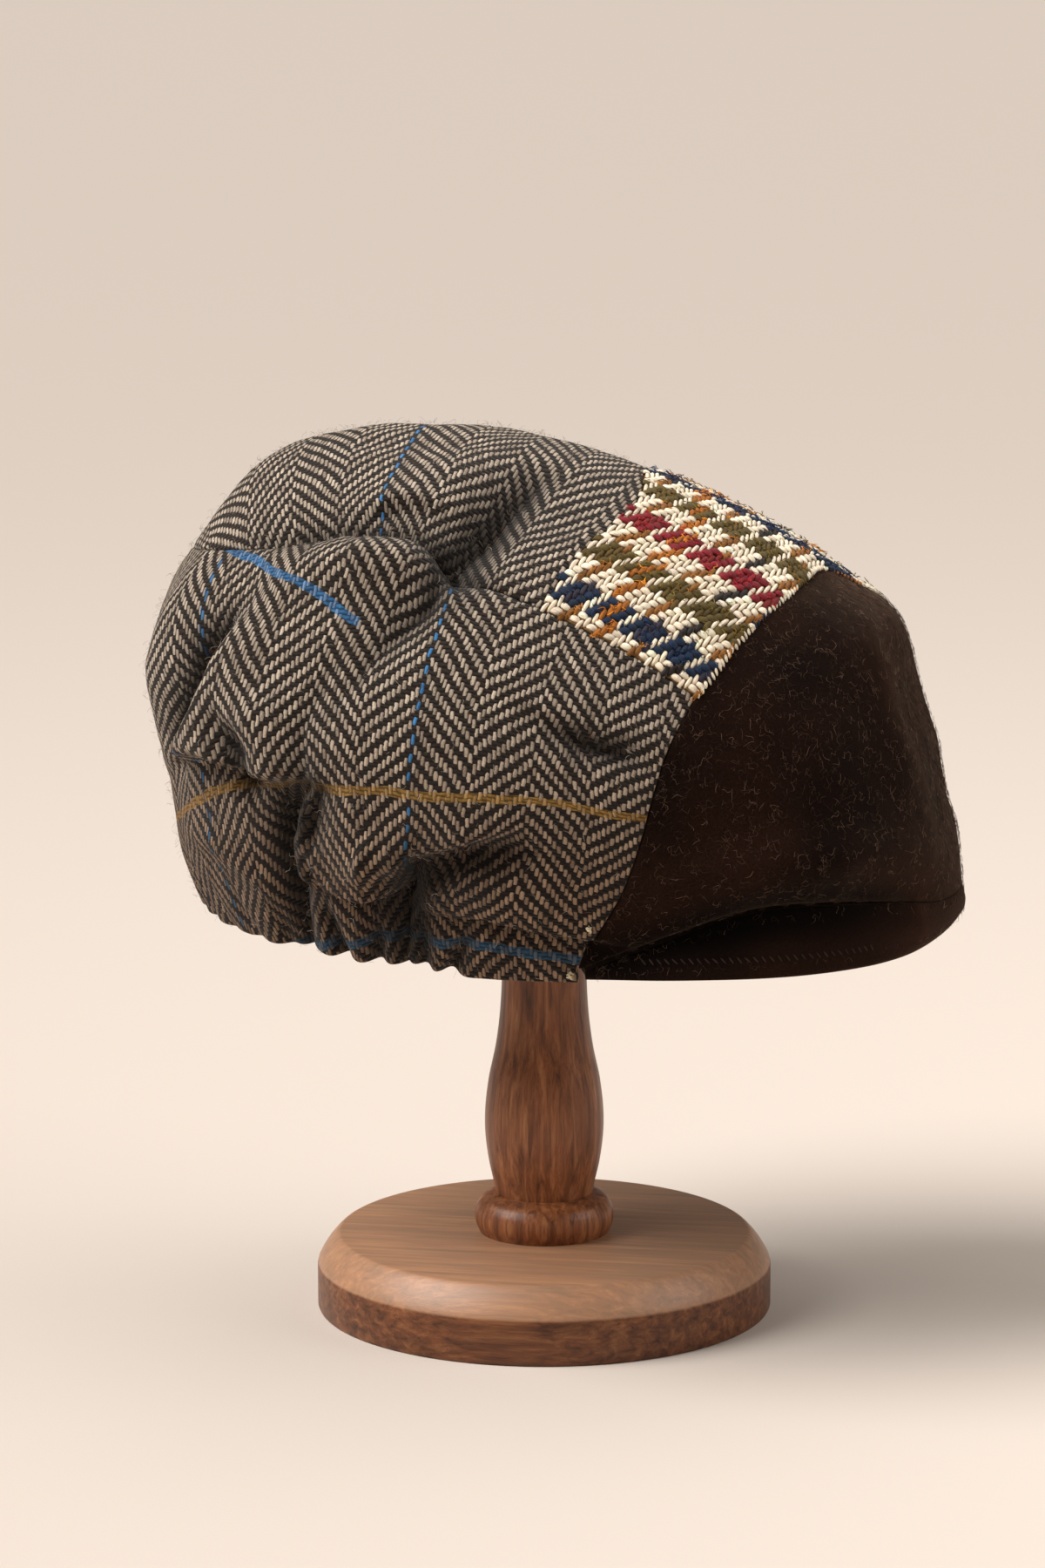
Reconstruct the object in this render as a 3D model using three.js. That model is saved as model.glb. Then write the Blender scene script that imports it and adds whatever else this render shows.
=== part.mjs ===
// A flat cap of patchwork tweed and brown felt on a turned wooden hat stand.
// Millimetres, +Z up. The origin is the centre of the stand's foot, on the surface it stands on.
// The cap's peak points along +X, and the wearer's right side is towards -Y.
//
// A place on the crown is an angle and a share. The angle, in degrees, goes round the head from the
// front (0) through the wearer's right (90) to the back (180). The share goes down from the top of
// the crown (0) to its lower edge (1).

import * as THREE from 'three';

// ---------------------------------------------------------------- cap: driving dimensions

const cloth = {
  wall: 2.0, // tweed or felt with its backing
  seamGap: 0.4, // between two neighbouring panels
  patchRaise: 0.8, // the heavier checked cloth stands this far proud
  patchWall: 2.6,
  hemWall: 3.0, // the turned-up hem that holds the elastic
  hemShare: 0.93, // the hem starts at this share
};

// Level sections of the crown, from its top to its lower edge. X and Z are given where the section
// crosses the front and the back, Y and Z where it crosses the side. round swells its corners.
const crownSections = [
  { share: 0.0, frontX: -40, frontZ: 291.2, backX: -40, backZ: 291.2, sideY: 0, sideZ: 291, round: 0 },
  { share: 0.15, frontX: 10, frontZ: 284.6, backX: -70, backZ: 288, sideY: 34, sideZ: 285, round: 0 },
  { share: 0.3, frontX: 52, frontZ: 269.6, backX: -92, backZ: 279, sideY: 64, sideZ: 268.5, round: 0 },
  { share: 0.45, frontX: 90, frontZ: 249, backX: -111, backZ: 257, sideY: 88, sideZ: 244, round: 0.01 },
  { share: 0.6, frontX: 115, frontZ: 225.5, backX: -125, backZ: 230, sideY: 103, sideZ: 216, round: 0.02 },
  { share: 0.72, frontX: 124, frontZ: 200, backX: -125.5, backZ: 205, sideY: 107, sideZ: 192, round: 0.03 },
  { share: 0.84, frontX: 130.5, frontZ: 170, backX: -122, backZ: 178, sideY: 102, sideZ: 165, round: 0.03 },
  { share: 0.93, frontX: 134.5, frontZ: 150, backX: -119, backZ: 154, sideY: 94, sideZ: 143, round: 0.03 },
  { share: 1.0, frontX: 132.5, frontZ: 138, backX: -113, backZ: 137, sideY: 87, sideZ: 127, round: 0.03 },
];

// The middle of each section moves forward from the top of the crown to its lower edge.
const crownMiddle = { topX: -40, edgeX: 10 };

// Seams and edges, as rows of [angle, share].
const seams = {
  ridgeRight: [[73, 0.45], [79, 0.415], [85, 0.392], [90, 0.354], [96, 0.335], [112, 0.343], [127, 0.381], [153, 0.45]],
  backOfTop: [[153, 0.45], [167, 0.475], [180, 0.485], [193, 0.475], [207, 0.45]],
  topToPatch: [[73, 0.45], [57, 0.35], [14, 0.243], [-14, 0.245], [-57, 0.355], [-73, 0.45]],
  patchLowerRight: [[55.5, 0.602], [63, 0.522], [73, 0.45]],
  patchLowerLeft: [[-57, 0.63], [-64, 0.535], [-73, 0.45]],
  patchToFelt: [[55.5, 0.602], [44, 0.53], [28.5, 0.48], [6, 0.453], [-7, 0.505], [-16, 0.548], [-30, 0.575],
    [-44, 0.6], [-57, 0.63]],
  feltRight: [[55.5, 0.602], [61, 0.664], [65.5, 0.74], [69, 0.805], [73.5, 0.874], [79.5, 0.939], [82.2, 0.981]],
  feltLeft: [[-57, 0.63], [-61.5, 0.68], [-66, 0.745], [-69.5, 0.81], [-74, 0.88], [-79.5, 0.94], [-82.2, 0.981]],
  feltLowerEdge: [[82.2, 0.981], [73.5, 0.954], [66, 0.931], [56, 0.91], [45, 0.91], [30, 0.928], [14.5, 0.953],
    [0, 0.956], [-14.5, 0.953], [-30, 0.928], [-45, 0.91], [-56, 0.91], [-66, 0.931], [-73.5, 0.954], [-82.2, 0.981]],
};

// Folds in the cloth. Each follows its path and stands out (+) or goes in (-) by lift, given at the
// path's start, middle and end. A roll is rounded across and a crease is sharp. A shelf stands out on
// the left of its path, seen from outside, and goes in on the right. width is how far each reaches
// across. twin repeats the fold, weaker, on the wearer's left.
const folds = [
  { name: 'rear shelf', kind: 'shelf', path: [[129, 0.5], [133.5, 0.58], [137, 0.66], [144, 0.74]], lift: [1, 6, 4], width: 10, twin: 0.8 },
  { name: 'rear crease', kind: 'crease', path: [[129, 0.5], [134, 0.59], [137.5, 0.66], [147, 0.77]], lift: [-1, -9, -6], width: 4, twin: 0.8 },
  { name: 'rear lobe', kind: 'roll', path: [[150, 0.55], [156, 0.66], [162, 0.72]], lift: [3, 4, 2], width: 15, twin: 0.8 },
  { name: 'upper bulge', kind: 'roll', path: [[126, 0.55], [125, 0.63], [121, 0.7]], lift: [2, 5, 3], width: 13, twin: 0.8 },
  { name: 'under the bulge', kind: 'shelf', path: [[152, 0.79], [137, 0.745], [128, 0.755], [117, 0.742]], lift: [2, 8, 4], width: 11, twin: 0.8 },
  { name: 'middle valley', kind: 'crease', path: [[107, 0.5], [112, 0.595], [115.5, 0.665], [116, 0.73]], lift: [-0.5, -4, -5], width: 6, twin: 0.8 },
  { name: 'rear slope', kind: 'roll', path: [[149, 0.87], [137, 0.878], [127, 0.917]], lift: [1, 2.5, 1], width: 5, twin: 0.8 },
  { name: 'main groove', kind: 'crease', path: [[116, 0.745], [120, 0.79], [123.5, 0.84], [123.5, 0.9], [126, 1]], lift: [-4, -16, -6], width: 4.5, twin: 0.8 },
  { name: 'narrow lip', kind: 'roll', path: [[114.5, 0.74], [118, 0.787], [120.7, 0.84], [121, 0.878]], lift: [3, 8, 5], width: 4.5, twin: 0.8 },
  { name: 'beside the lip', kind: 'crease', path: [[113.5, 0.745], [116, 0.79], [118.7, 0.85]], lift: [-2, -4, -1], width: 2.5, twin: 0.8 },
  { name: 'swag', kind: 'roll', path: [[111, 0.78], [110, 0.83], [106, 0.835]], lift: [3, 8, 4], width: 12, twin: 0.8 },
  { name: 'under the swag', kind: 'shelf', path: [[118.7, 0.86], [117.5, 0.888], [114, 0.897], [110, 0.896], [105.5, 0.886], [103, 0.85]], lift: [3, 7, 5], width: 7, twin: 0.8 },
  { name: 'middle groove', kind: 'crease', path: [[102, 0.83], [103.5, 0.865], [106, 0.91], [109, 1]], lift: [-6, -15, -6], width: 4.5, twin: 0.8 },
  { name: 'rising fold', kind: 'shelf', path: [[103, 0.84], [98, 0.822], [92, 0.803], [84, 0.778]], lift: [5, 8, 1], width: 9, twin: 0.7 },
  { name: 'lower swag', kind: 'roll', path: [[99, 0.875], [93, 0.865], [84, 0.885]], lift: [4, 5, 3], width: 7, twin: 0.7 },
  { name: 'under the lower swag', kind: 'shelf', path: [[101, 0.91], [95, 0.905], [88, 0.915], [79.5, 0.932]], lift: [2, 5, 3], width: 6, twin: 0.7 },
  { name: 'ridge seam dip', kind: 'crease', path: [[152, 0.445], [127, 0.375], [112, 0.338], [96, 0.33], [90, 0.349], [84, 0.39], [76, 0.43]], lift: [-2, -7, -4], width: 5, twin: 0.8 },
  { name: 'ridge puff', kind: 'roll', path: [[122, 0.42], [106, 0.39], [94, 0.385], [88, 0.42]], lift: [3, 8, 4], width: 10, twin: 0.8 },
  { name: 'end of the puff', kind: 'shelf', path: [[85.5, 0.47], [86.5, 0.42], [89, 0.375]], lift: [1, 4, 3], width: 6, twin: 0.8 },
  { name: 'top step', kind: 'shelf', path: [[110, 0.339], [107.5, 0.307], [100, 0.28], [90.5, 0.28]], lift: [1, 4, 2], width: 8, twin: 0.8 },
  { name: 'slanting valley', kind: 'roll', path: [[50, 0.2], [69, 0.265], [80, 0.34], [90, 0.42], [100, 0.51]], lift: [-2, -8, -1], width: 11, twin: 0.8 },
  { name: 'swell behind it', kind: 'roll', path: [[60, 0.12], [87.5, 0.236], [103, 0.35]], lift: [1, 3, 1], width: 14, twin: 0.8 },
  { name: 'felt seam crease', kind: 'crease', path: [[80, 0.6], [75, 0.635], [71.5, 0.66], [68, 0.67]], lift: [-1, -6, -6], width: 4, twin: 0.8 },
  { name: 'felt seam shelf', kind: 'shelf', path: [[80, 0.6], [75, 0.635], [71.5, 0.66], [68, 0.67]], lift: [1, 3, 2], width: 9, twin: 0.8 },
  { name: 'felt shoulder', kind: 'roll', path: [[22, 0.56], [0, 0.57], [-22, 0.58]], lift: [1, 3, 1], width: 12, twin: 0 },
  { name: 'felt hollow', kind: 'roll', path: [[20, 0.69], [0, 0.68], [-20, 0.69]], lift: [-1, -3, -1], width: 12, twin: 0 },
  { name: 'felt corner', kind: 'roll', path: [[15, 0.56], [19, 0.7], [15, 0.86]], lift: [1, 3, 1], width: 11, twin: 1 },
  { name: 'felt overhang', kind: 'roll', path: [[66, 0.895], [50, 0.88], [30, 0.895], [12, 0.925]], lift: [2, 6, 1], width: 9, twin: 1 },
];
const shelfEdge = 0.4; // how wide a shelf's own step is, as a share of its width
const leastFoldWidth = 7; // the panels' grid shows nothing finer, so narrower folds are broadened to this

// Gathers that the elastic draws into the back of the hem: how deep each is, how far up the crown
// it runs, and how far it leans round the head on the way.
const gathers = [
  { angle: 102, depth: 4, rise: 0.09, lean: -6 },
  { angle: 106, depth: 3, rise: 0.1, lean: -3 },
  { angle: 113.5, depth: 3, rise: 0.1, lean: -3 },
  { angle: 119, depth: 4, rise: 0.1, lean: 0 },
  { angle: 129.5, depth: 3, rise: 0.08, lean: -1 },
  { angle: 136, depth: 3.5, rise: 0.1, lean: 3 },
  { angle: 143.5, depth: 3, rise: 0.08, lean: 3 },
  { angle: 151, depth: 3.5, rise: 0.12, lean: 2 },
  { angle: 158, depth: 3, rise: 0.1, lean: -1 },
  { angle: 165.5, depth: 3.5, rise: 0.13, lean: 2 },
  { angle: 173, depth: 3, rise: 0.1, lean: -2 },
];
const gatherWidth = 3;

// The peak: the height of its lower edge and how far it flares past the crown, by angle from the
// front. It reaches in to the front of the head opening.
const peakSections = [
  { angle: 0, lowZ: 134.6, flare: -1 },
  { angle: 14, lowZ: 133.2, flare: -0.3 },
  { angle: 28, lowZ: 130.7, flare: 0.6 },
  { angle: 45, lowZ: 130.1, flare: 1.6 },
  { angle: 62, lowZ: 130.2, flare: 2 },
  { angle: 81.6, lowZ: 129.2, flare: 0.5 },
];
const peak = { board: 2.6, seat: 0.45, step: 0.6, ledgeRise: 1, leastBand: 2, endShort: 0.22 };
const headOpening = { middleX: -11.5, halfLength: 100, halfWidth: 85, leastLedge: 5 };

// ---------------------------------------------------------------- stand: driving dimensions

const foot = { radius: 75, topRadius: 67.8, sideHeight: 14.7, height: 24.7, fillet: 0.7, wornEdge: 1, fullness: 0.5 };

// The column's profile: its radius at each height above the foot.
const column = { topZ: 243 };
const columnProfile = [
  { up: 0, radius: 21.3 }, // bead
  { up: 3, radius: 22.6 },
  { up: 6.2, radius: 22.9 },
  { up: 9.2, radius: 22.1 },
  { up: 11.8, radius: 19.9 },
  { up: 13.1, radius: 17.3 },
  { up: 13.3, radius: 16 }, // foot of the baluster
  { up: 16.7, radius: 16.7 },
  { up: 24, radius: 18.3 },
  { up: 36.5, radius: 19.6 },
  { up: 51, radius: 18.4 },
  { up: 62.7, radius: 16 },
  { up: 71.5, radius: 14.8 }, // neck
  { up: 81, radius: 14.1 },
  { up: 100, radius: 13.8 },
];
const head = { radius: 50, domeRadius: 66, rimHeight: 7, underRadius: 47, domeSteps: 6, clearance: 0.4 };

// ---------------------------------------------------------------- crown surface

const degrees = Math.PI / 180;
const crownCentre = new THREE.Vector3(0, 0, 190);
const levelAtTop = ['frontZ', 'backZ', 'sideZ']; // heights start level at the top of the crown

function slopeAt(key, i) {
  const rows = crownSections;
  const last = rows.length - 1;
  const slope = (a, b) => (rows[b][key] - rows[a][key]) / (rows[b].share - rows[a].share);
  if (i === 0) return levelAtTop.includes(key) ? 0 : slope(0, 1);
  if (i === last) return slope(last - 1, last);
  const before = rows[i].share - rows[i - 1].share;
  const after = rows[i + 1].share - rows[i].share;
  return (slope(i - 1, i) * after + slope(i, i + 1) * before) / (before + after);
}

// A column of the section table at any share, as a smooth curve through its rows.
function sectionValue(key, share) {
  const rows = crownSections;
  let i = 0;
  while (i < rows.length - 2 && share > rows[i + 1].share) i += 1;
  const step = rows[i + 1].share - rows[i].share;
  const t = (share - rows[i].share) / step;
  const t2 = t * t;
  const t3 = t2 * t;
  return (2 * t3 - 3 * t2 + 1) * rows[i][key] + (t3 - 2 * t2 + t) * step * slopeAt(key, i)
    + (3 * t2 - 2 * t3) * rows[i + 1][key] + (t3 - t2) * step * slopeAt(key, i + 1);
}

// A point of the smooth crown, before folds.
function crownPoint(angle, share) {
  const c = Math.cos(angle * degrees);
  const s = Math.sin(angle * degrees);
  const middle = crownMiddle.topX + (crownMiddle.edgeX - crownMiddle.topX) * share;
  const reach = c > 0 ? sectionValue('frontX', share) - middle : middle - sectionValue('backX', share);
  const endZ = sectionValue(c > 0 ? 'frontZ' : 'backZ', share);
  const swell = 1 + sectionValue('round', share) * (2 * s * c) ** 2;
  return new THREE.Vector3(
    middle + reach * c * swell,
    -sectionValue('sideY', share) * s * swell,
    sectionValue('sideZ', share) * s * s + endZ * c * c,
  );
}

// The crown seen flat from above as a disc: panels are spread over it, so that none has a pole.
const onDisc = ([angle, share]) => new THREE.Vector2(
  share * Math.cos(angle * degrees), share * Math.sin(angle * degrees));
const fromDisc = (spot) => [Math.atan2(spot.y, spot.x) / degrees, Math.min(spot.length(), 1)];

function crownNormal(spot) {
  const step = 0.004;
  const room = Math.min(1, (1 - step) / Math.max(spot.length(), 1e-6));
  const [x, y] = [spot.x * room, spot.y * room];
  const at = (dx, dy) => crownPoint(...fromDisc(new THREE.Vector2(x + dx, y + dy)));
  const along = at(step, 0).sub(at(-step, 0));
  const across = at(0, step).sub(at(0, -step));
  return across.cross(along).normalize();
}

// ---------------------------------------------------------------- folds

const pathSteps = 14;

// A fold's path on the crown. Its lift runs straight from start to middle and from middle to end.
function foldFrom(row, scale, mirrored) {
  const side = mirrored ? -1 : 1;
  const curve = new THREE.SplineCurve(row.path.map(([angle, share]) => new THREE.Vector2(angle * side, share)));
  const spots = [];
  for (let i = 0; i <= pathSteps; i += 1) {
    const t = i / pathSteps;
    const at = curve.getPoint(t);
    const [start, middle, end] = row.lift;
    const lift = t < 0.5 ? start + (middle - start) * 2 * t : middle + (end - middle) * (2 * t - 1);
    spots.push({ point: crownPoint(at.x, Math.min(at.y, 1)), lift: lift * scale });
  }
  return { spots, width: Math.max(row.width ?? 0, leastFoldWidth), kind: row.kind, side };
}

function gatherFold(row, mirrored) {
  const path = [[row.angle, 1], [row.angle + row.lean * 0.6, 1 - row.rise * 0.5], [row.angle + row.lean, 1 - row.rise]];
  const fold = foldFrom({ kind: 'roll', path, lift: [-row.depth, -row.depth * 0.8, 0] }, 1, mirrored);
  return { ...fold, width: gatherWidth };
}

const allFolds = [
  ...folds.map((row) => foldFrom(row, 1, false)),
  ...folds.filter((row) => row.twin > 0).map((row) => foldFrom(row, row.twin, true)),
  ...gathers.map((row) => gatherFold(row, false)),
  ...gathers.map((row) => gatherFold(row, true)),
];

// How a fold's lift fades across it. away and offset are in widths: away from the path, and to its left.
const across = {
  roll: (away) => Math.exp(-away * away),
  crease: (away) => Math.exp(-away),
  shelf: (away, offset) => Math.exp(-away) * Math.tanh(offset / shelfEdge),
};

// How far all the folds together move a point of the smooth crown.
function foldLift(point) {
  let sum = 0;
  for (const fold of allFolds) {
    let nearest = Infinity;
    let lift = 0;
    let offset = 0;
    for (let i = 0; i < pathSteps; i += 1) {
      const a = fold.spots[i];
      const b = fold.spots[i + 1];
      const span = new THREE.Vector3().subVectors(b.point, a.point);
      const fromStart = new THREE.Vector3().subVectors(point, a.point);
      const t = THREE.MathUtils.clamp(fromStart.dot(span) / span.lengthSq(), 0, 1);
      const distance = fromStart.clone().addScaledVector(span, -t).length();
      if (distance < nearest) {
        const left = new THREE.Vector3().subVectors(a.point, crownCentre).cross(span).normalize();
        nearest = distance;
        lift = a.lift + (b.lift - a.lift) * t;
        offset = fromStart.dot(left) * fold.side;
      }
    }
    sum += lift * across[fold.kind](nearest / fold.width, offset / fold.width);
  }
  return sum;
}

// A point in the cloth of the finished crown, raise above the smooth surface (below, if negative).
function clothPoint(spot, raise) {
  const point = crownPoint(...fromDisc(spot));
  return point.clone().addScaledVector(crownNormal(spot), foldLift(point) + raise);
}

// ---------------------------------------------------------------- closed shells

// A closed body from its points and triangles, turned so that its faces point outwards.
function closedBody(points, triangles) {
  const geometry = new THREE.BufferGeometry();
  geometry.setAttribute('position', new THREE.Float32BufferAttribute(points.flatMap((p) => p.toArray()), 3));
  let volume = 0;
  for (let i = 0; i < triangles.length; i += 3) {
    const [a, b, c] = [points[triangles[i]], points[triangles[i + 1]], points[triangles[i + 2]]];
    volume += a.dot(new THREE.Vector3().crossVectors(b, c));
  }
  const outward = volume > 0 ? triangles : triangles.slice().reverse();
  geometry.setIndex(outward);
  geometry.computeVertexNormals();
  return geometry;
}

// A wall between two grids of points, outer and inner, each (columns + 1) by (rows + 1).
function gridWall(columns, rows, outer, inner) {
  const points = [...outer, ...inner];
  const shift = outer.length;
  const index = (i, j) => i * (rows + 1) + j;
  const triangles = [];
  const quad = (a, b, c, d) => triangles.push(a, b, c, a, c, d);
  for (let i = 0; i < columns; i += 1) {
    for (let j = 0; j < rows; j += 1) {
      const [a, b, c, d] = [index(i, j), index(i + 1, j), index(i + 1, j + 1), index(i, j + 1)];
      quad(a, b, c, d);
      quad(shift + d, shift + c, shift + b, shift + a);
    }
  }
  const border = [];
  for (let i = 0; i < columns; i += 1) border.push([index(i, 0), index(i + 1, 0)]);
  for (let j = 0; j < rows; j += 1) border.push([index(columns, j), index(columns, j + 1)]);
  for (let i = columns; i > 0; i -= 1) border.push([index(i, rows), index(i - 1, rows)]);
  for (let j = rows; j > 0; j -= 1) border.push([index(0, j), index(0, j - 1)]);
  for (const [a, b] of border) quad(b, a, shift + a, shift + b);
  return closedBody(points, triangles);
}

// ---------------------------------------------------------------- cloth panels

const mmPerDegree = 1.6; // rough scale of the two coordinates, which spaces a seam's points evenly
const mmPerShare = 190;

// Evenly spaced spots along a seam. Two panels that share a seam share these, so they run parallel.
// An ease above 1 crowds them towards the start.
function spotsAlong(rows, count, ease = 1) {
  const curve = new THREE.SplineCurve(
    rows.map(([angle, share]) => new THREE.Vector2(angle * mmPerDegree, share * mmPerShare)));
  return Array.from({ length: count + 1 }, (_, i) => {
    const at = curve.getPointAt((i / count) ** ease);
    return onDisc([at.x / mmPerDegree, at.y / mmPerShare]);
  });
}

const joined = (...runs) => runs.flatMap((run, i) => (i ? run.slice(1) : run));
const reversed = (run) => run.slice().reverse();
const mirroredRows = (rows) => rows.map(([angle, share]) => [-angle, share]);

const steps = { ridge: 20, across: 20, patch: 8, felt: 14, side: 15 };
const runs = {
  ridgeRight: spotsAlong(seams.ridgeRight, steps.ridge),
  ridgeLeft: spotsAlong(mirroredRows(seams.ridgeRight), steps.ridge),
  backOfTop: spotsAlong(seams.backOfTop, steps.across),
  topToPatch: spotsAlong(seams.topToPatch, steps.across),
  patchToFelt: spotsAlong(seams.patchToFelt, steps.across),
  patchLowerRight: spotsAlong(seams.patchLowerRight, steps.patch),
  patchLowerLeft: spotsAlong(seams.patchLowerLeft, steps.patch),
  feltRight: spotsAlong(seams.feltRight, steps.felt),
  feltLeft: spotsAlong(seams.feltLeft, steps.felt),
  feltLowerEdge: spotsAlong(seams.feltLowerEdge, steps.across),
  backSeam: spotsAlong([[180, 1], [180, 0.742], [180, 0.485]], steps.side, 1.2),
};

// A four-sided panel spread between its seams. low and high run from its first side to its last.
function panel({ low, high, first, last, raise = 0, wall = cloth.wall, hem = false }) {
  const columns = low.length - 1;
  const rows = first.length - 1;
  const spotAt = (i, j) => {
    const [u, v] = [i / columns, j / rows];
    return new THREE.Vector2()
      .addScaledVector(low[i], 1 - v).addScaledVector(high[i], v)
      .addScaledVector(first[j], 1 - u).addScaledVector(last[j], u)
      .addScaledVector(low[0], -(1 - u) * (1 - v)).addScaledVector(low[columns], -u * (1 - v))
      .addScaledVector(high[0], -(1 - u) * v).addScaledVector(high[columns], -u * v);
  };
  // Half of the seam's gap is left on each side of it.
  const inwards = (k, count) => (k === 0 ? 1 : k === count ? count - 1 : k);
  const clearOfSeam = (i, j) => {
    const spot = spotAt(i, j);
    const [ni, nj] = [inwards(i, columns), inwards(j, rows)];
    if (ni === i && nj === j) return spot;
    const next = spotAt(ni, nj);
    const corner = ni !== i && nj !== j ? Math.SQRT2 : 1;
    const length = clothPoint(spot, 0).distanceTo(clothPoint(next, 0));
    return spot.lerp(next, (corner * cloth.seamGap) / 2 / length);
  };
  const outer = [];
  const inner = [];
  for (let i = 0; i <= columns; i += 1) {
    for (let j = 0; j <= rows; j += 1) {
      const spot = clearOfSeam(i, j);
      const inHem = hem ? THREE.MathUtils.smoothstep(spot.length(), cloth.hemShare, 1) : 0;
      const thickness = wall + (cloth.hemWall - wall) * inHem;
      outer.push(clothPoint(spot, raise));
      inner.push(clothPoint(spot, raise - thickness));
    }
  }
  return gridWall(columns, rows, outer, inner);
}

const halfAcross = steps.across / 2;

// The side panels run from the felt round to the back seam, and from the hem up to the ridge.
const hemRight = spotsAlong([[82.5, 1], [131, 1], [180, 1]], steps.patch + steps.ridge + halfAcross);
const hemLeft = spotsAlong([[-82.5, 1], [-131, 1], [-180, 1]], steps.patch + steps.ridge + halfAcross);

const sideRight = () => panel({
  low: hemRight,
  high: joined(runs.patchLowerRight, runs.ridgeRight, runs.backOfTop.slice(0, halfAcross + 1)),
  first: joined(hemRight.slice(0, 1).concat(runs.feltRight[steps.felt]), reversed(runs.feltRight)),
  last: runs.backSeam,
  hem: true,
});

const sideLeft = () => panel({
  low: hemLeft,
  high: joined(runs.patchLowerLeft, runs.ridgeLeft, reversed(runs.backOfTop.slice(halfAcross))),
  first: joined(hemLeft.slice(0, 1).concat(runs.feltLeft[steps.felt]), reversed(runs.feltLeft)),
  last: runs.backSeam,
  hem: true,
});

const topPanel = () => panel({
  low: runs.ridgeRight,
  high: runs.ridgeLeft,
  first: runs.topToPatch,
  last: runs.backOfTop,
});

const patchPanel = () => panel({
  low: runs.patchLowerRight,
  high: runs.patchLowerLeft,
  first: runs.patchToFelt,
  last: runs.topToPatch,
  raise: cloth.patchRaise,
  wall: cloth.patchWall,
});

const frontPanel = () => panel({
  low: runs.feltRight,
  high: runs.feltLeft,
  first: runs.patchToFelt,
  last: runs.feltLowerEdge,
});

// ---------------------------------------------------------------- peak

function fromTable(rows, angle, key) {
  const at = Math.abs(angle);
  let i = 0;
  while (i < rows.length - 2 && at > rows[i + 1].angle) i += 1;
  const t = THREE.MathUtils.smootherstep(at, rows[i].angle, rows[i + 1].angle);
  return rows[i][key] + (rows[i + 1][key] - rows[i][key]) * t;
}

// The front of the head opening, along the ray at this angle from the stand's axis.
function openingReach(dx, dy) {
  const { middleX, halfLength, halfWidth } = headOpening;
  const a = (dx / halfLength) ** 2 + (dy / halfWidth) ** 2;
  const b = (-2 * dx * middleX) / halfLength ** 2;
  const c = (middleX / halfLength) ** 2 - 1;
  return (-b + Math.sqrt(b * b - 4 * a * c)) / (2 * a);
}

// One section of the peak: a band that hangs below the crown's edge, and a ledge behind it on
// which that edge sits.
function peakSection(spot) {
  const edge = clothPoint(spot, 0);
  const inside = clothPoint(spot, -cloth.wall);
  const [angle] = fromDisc(spot);
  const out = crownNormal(spot).setZ(0).normalize();
  const away = Math.hypot(edge.x, edge.y);
  const reach = Math.min(openingReach(edge.x / away, edge.y / away), away - headOpening.leastLedge);
  const ledgeZ = Math.min(edge.z, inside.z) - peak.seat;
  const lowZ = Math.min(fromTable(peakSections, angle, 'lowZ'), ledgeZ - peak.leastBand);
  const flare = fromTable(peakSections, angle, 'flare');
  const band = (offset, z) => edge.clone().addScaledVector(out, offset).setZ(z);
  const lip = (z) => new THREE.Vector3((edge.x * reach) / away, (edge.y * reach) / away, z);
  return [
    band(flare, lowZ),
    band(peak.step, ledgeZ),
    lip(ledgeZ + peak.ledgeRise),
    lip(ledgeZ + peak.ledgeRise - peak.board),
    band(-peak.board, ledgeZ - peak.board),
    band(flare - peak.board, lowZ),
  ];
}

function peakBody() {
  const sections = runs.feltLowerEdge.map(peakSection);
  const shortened = (end, next) => end.map((point, k) => point.clone().lerp(next[k], peak.endShort));
  const last = sections.length - 1;
  sections[0] = shortened(sections[0], sections[1]);
  sections[last] = shortened(sections[last], sections[last - 1]);
  const points = sections.flat();
  const triangles = [];
  const sides = 6;
  const end = points.length - sides;
  for (let i = 0; i < end; i += sides) {
    for (let k = 0; k < sides; k += 1) {
      const [a, b] = [i + k, i + ((k + 1) % sides)];
      triangles.push(a, b, b + sides, a, b + sides, a + sides);
    }
  }
  const endFaces = [[0, 5, 4], [0, 4, 1], [1, 4, 3], [1, 3, 2]];
  for (const [a, b, c] of endFaces) triangles.push(a, b, c, end + c, end + b, end + a);
  return closedBody(points, triangles);
}

// ---------------------------------------------------------------- stand

// A turned body from rows of [radius, height], up its side from the axis to the axis.
function turned(rows, segments) {
  const profile = rows.map(([radius, height]) => new THREE.Vector2(radius, height));
  const geometry = new THREE.LatheGeometry(profile, segments);
  geometry.rotateX(Math.PI / 2);
  return geometry;
}

// The foot: an upright side with a worn lower edge, then a wide, slightly full bevel up to the top.
// Both arrises of the bevel are eased.
function footBody() {
  const { radius, topRadius, sideHeight, height, fillet, wornEdge, fullness } = foot;
  const rows = [[0, 0], [radius - wornEdge, 0], [radius, wornEdge], [radius, sideHeight - fillet]];
  const bevel = Math.hypot(radius - topRadius, height - sideHeight);
  const eased = fillet / bevel;
  const bevelSteps = 4;
  for (let i = 0; i <= bevelSteps; i += 1) {
    const t = eased + (1 - 2 * eased) * (i / bevelSteps);
    const swell = 4 * fullness * t * (1 - t);
    rows.push([radius + (topRadius - radius) * t + swell, sideHeight + (height - sideHeight) * t + swell]);
  }
  rows.push([topRadius - fillet, height], [0, height]);
  return turned(rows, 56);
}

// The column: a bead at its foot, a long baluster swell, and a plain neck up to the head.
function columnBody() {
  const rows = columnProfile.map(({ up, radius }) => [radius, foot.height + up]);
  const neck = rows.at(-1)[0];
  return turned([[0, foot.height], ...rows, [neck, column.topZ], [0, column.topZ]], 32);
}

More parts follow.
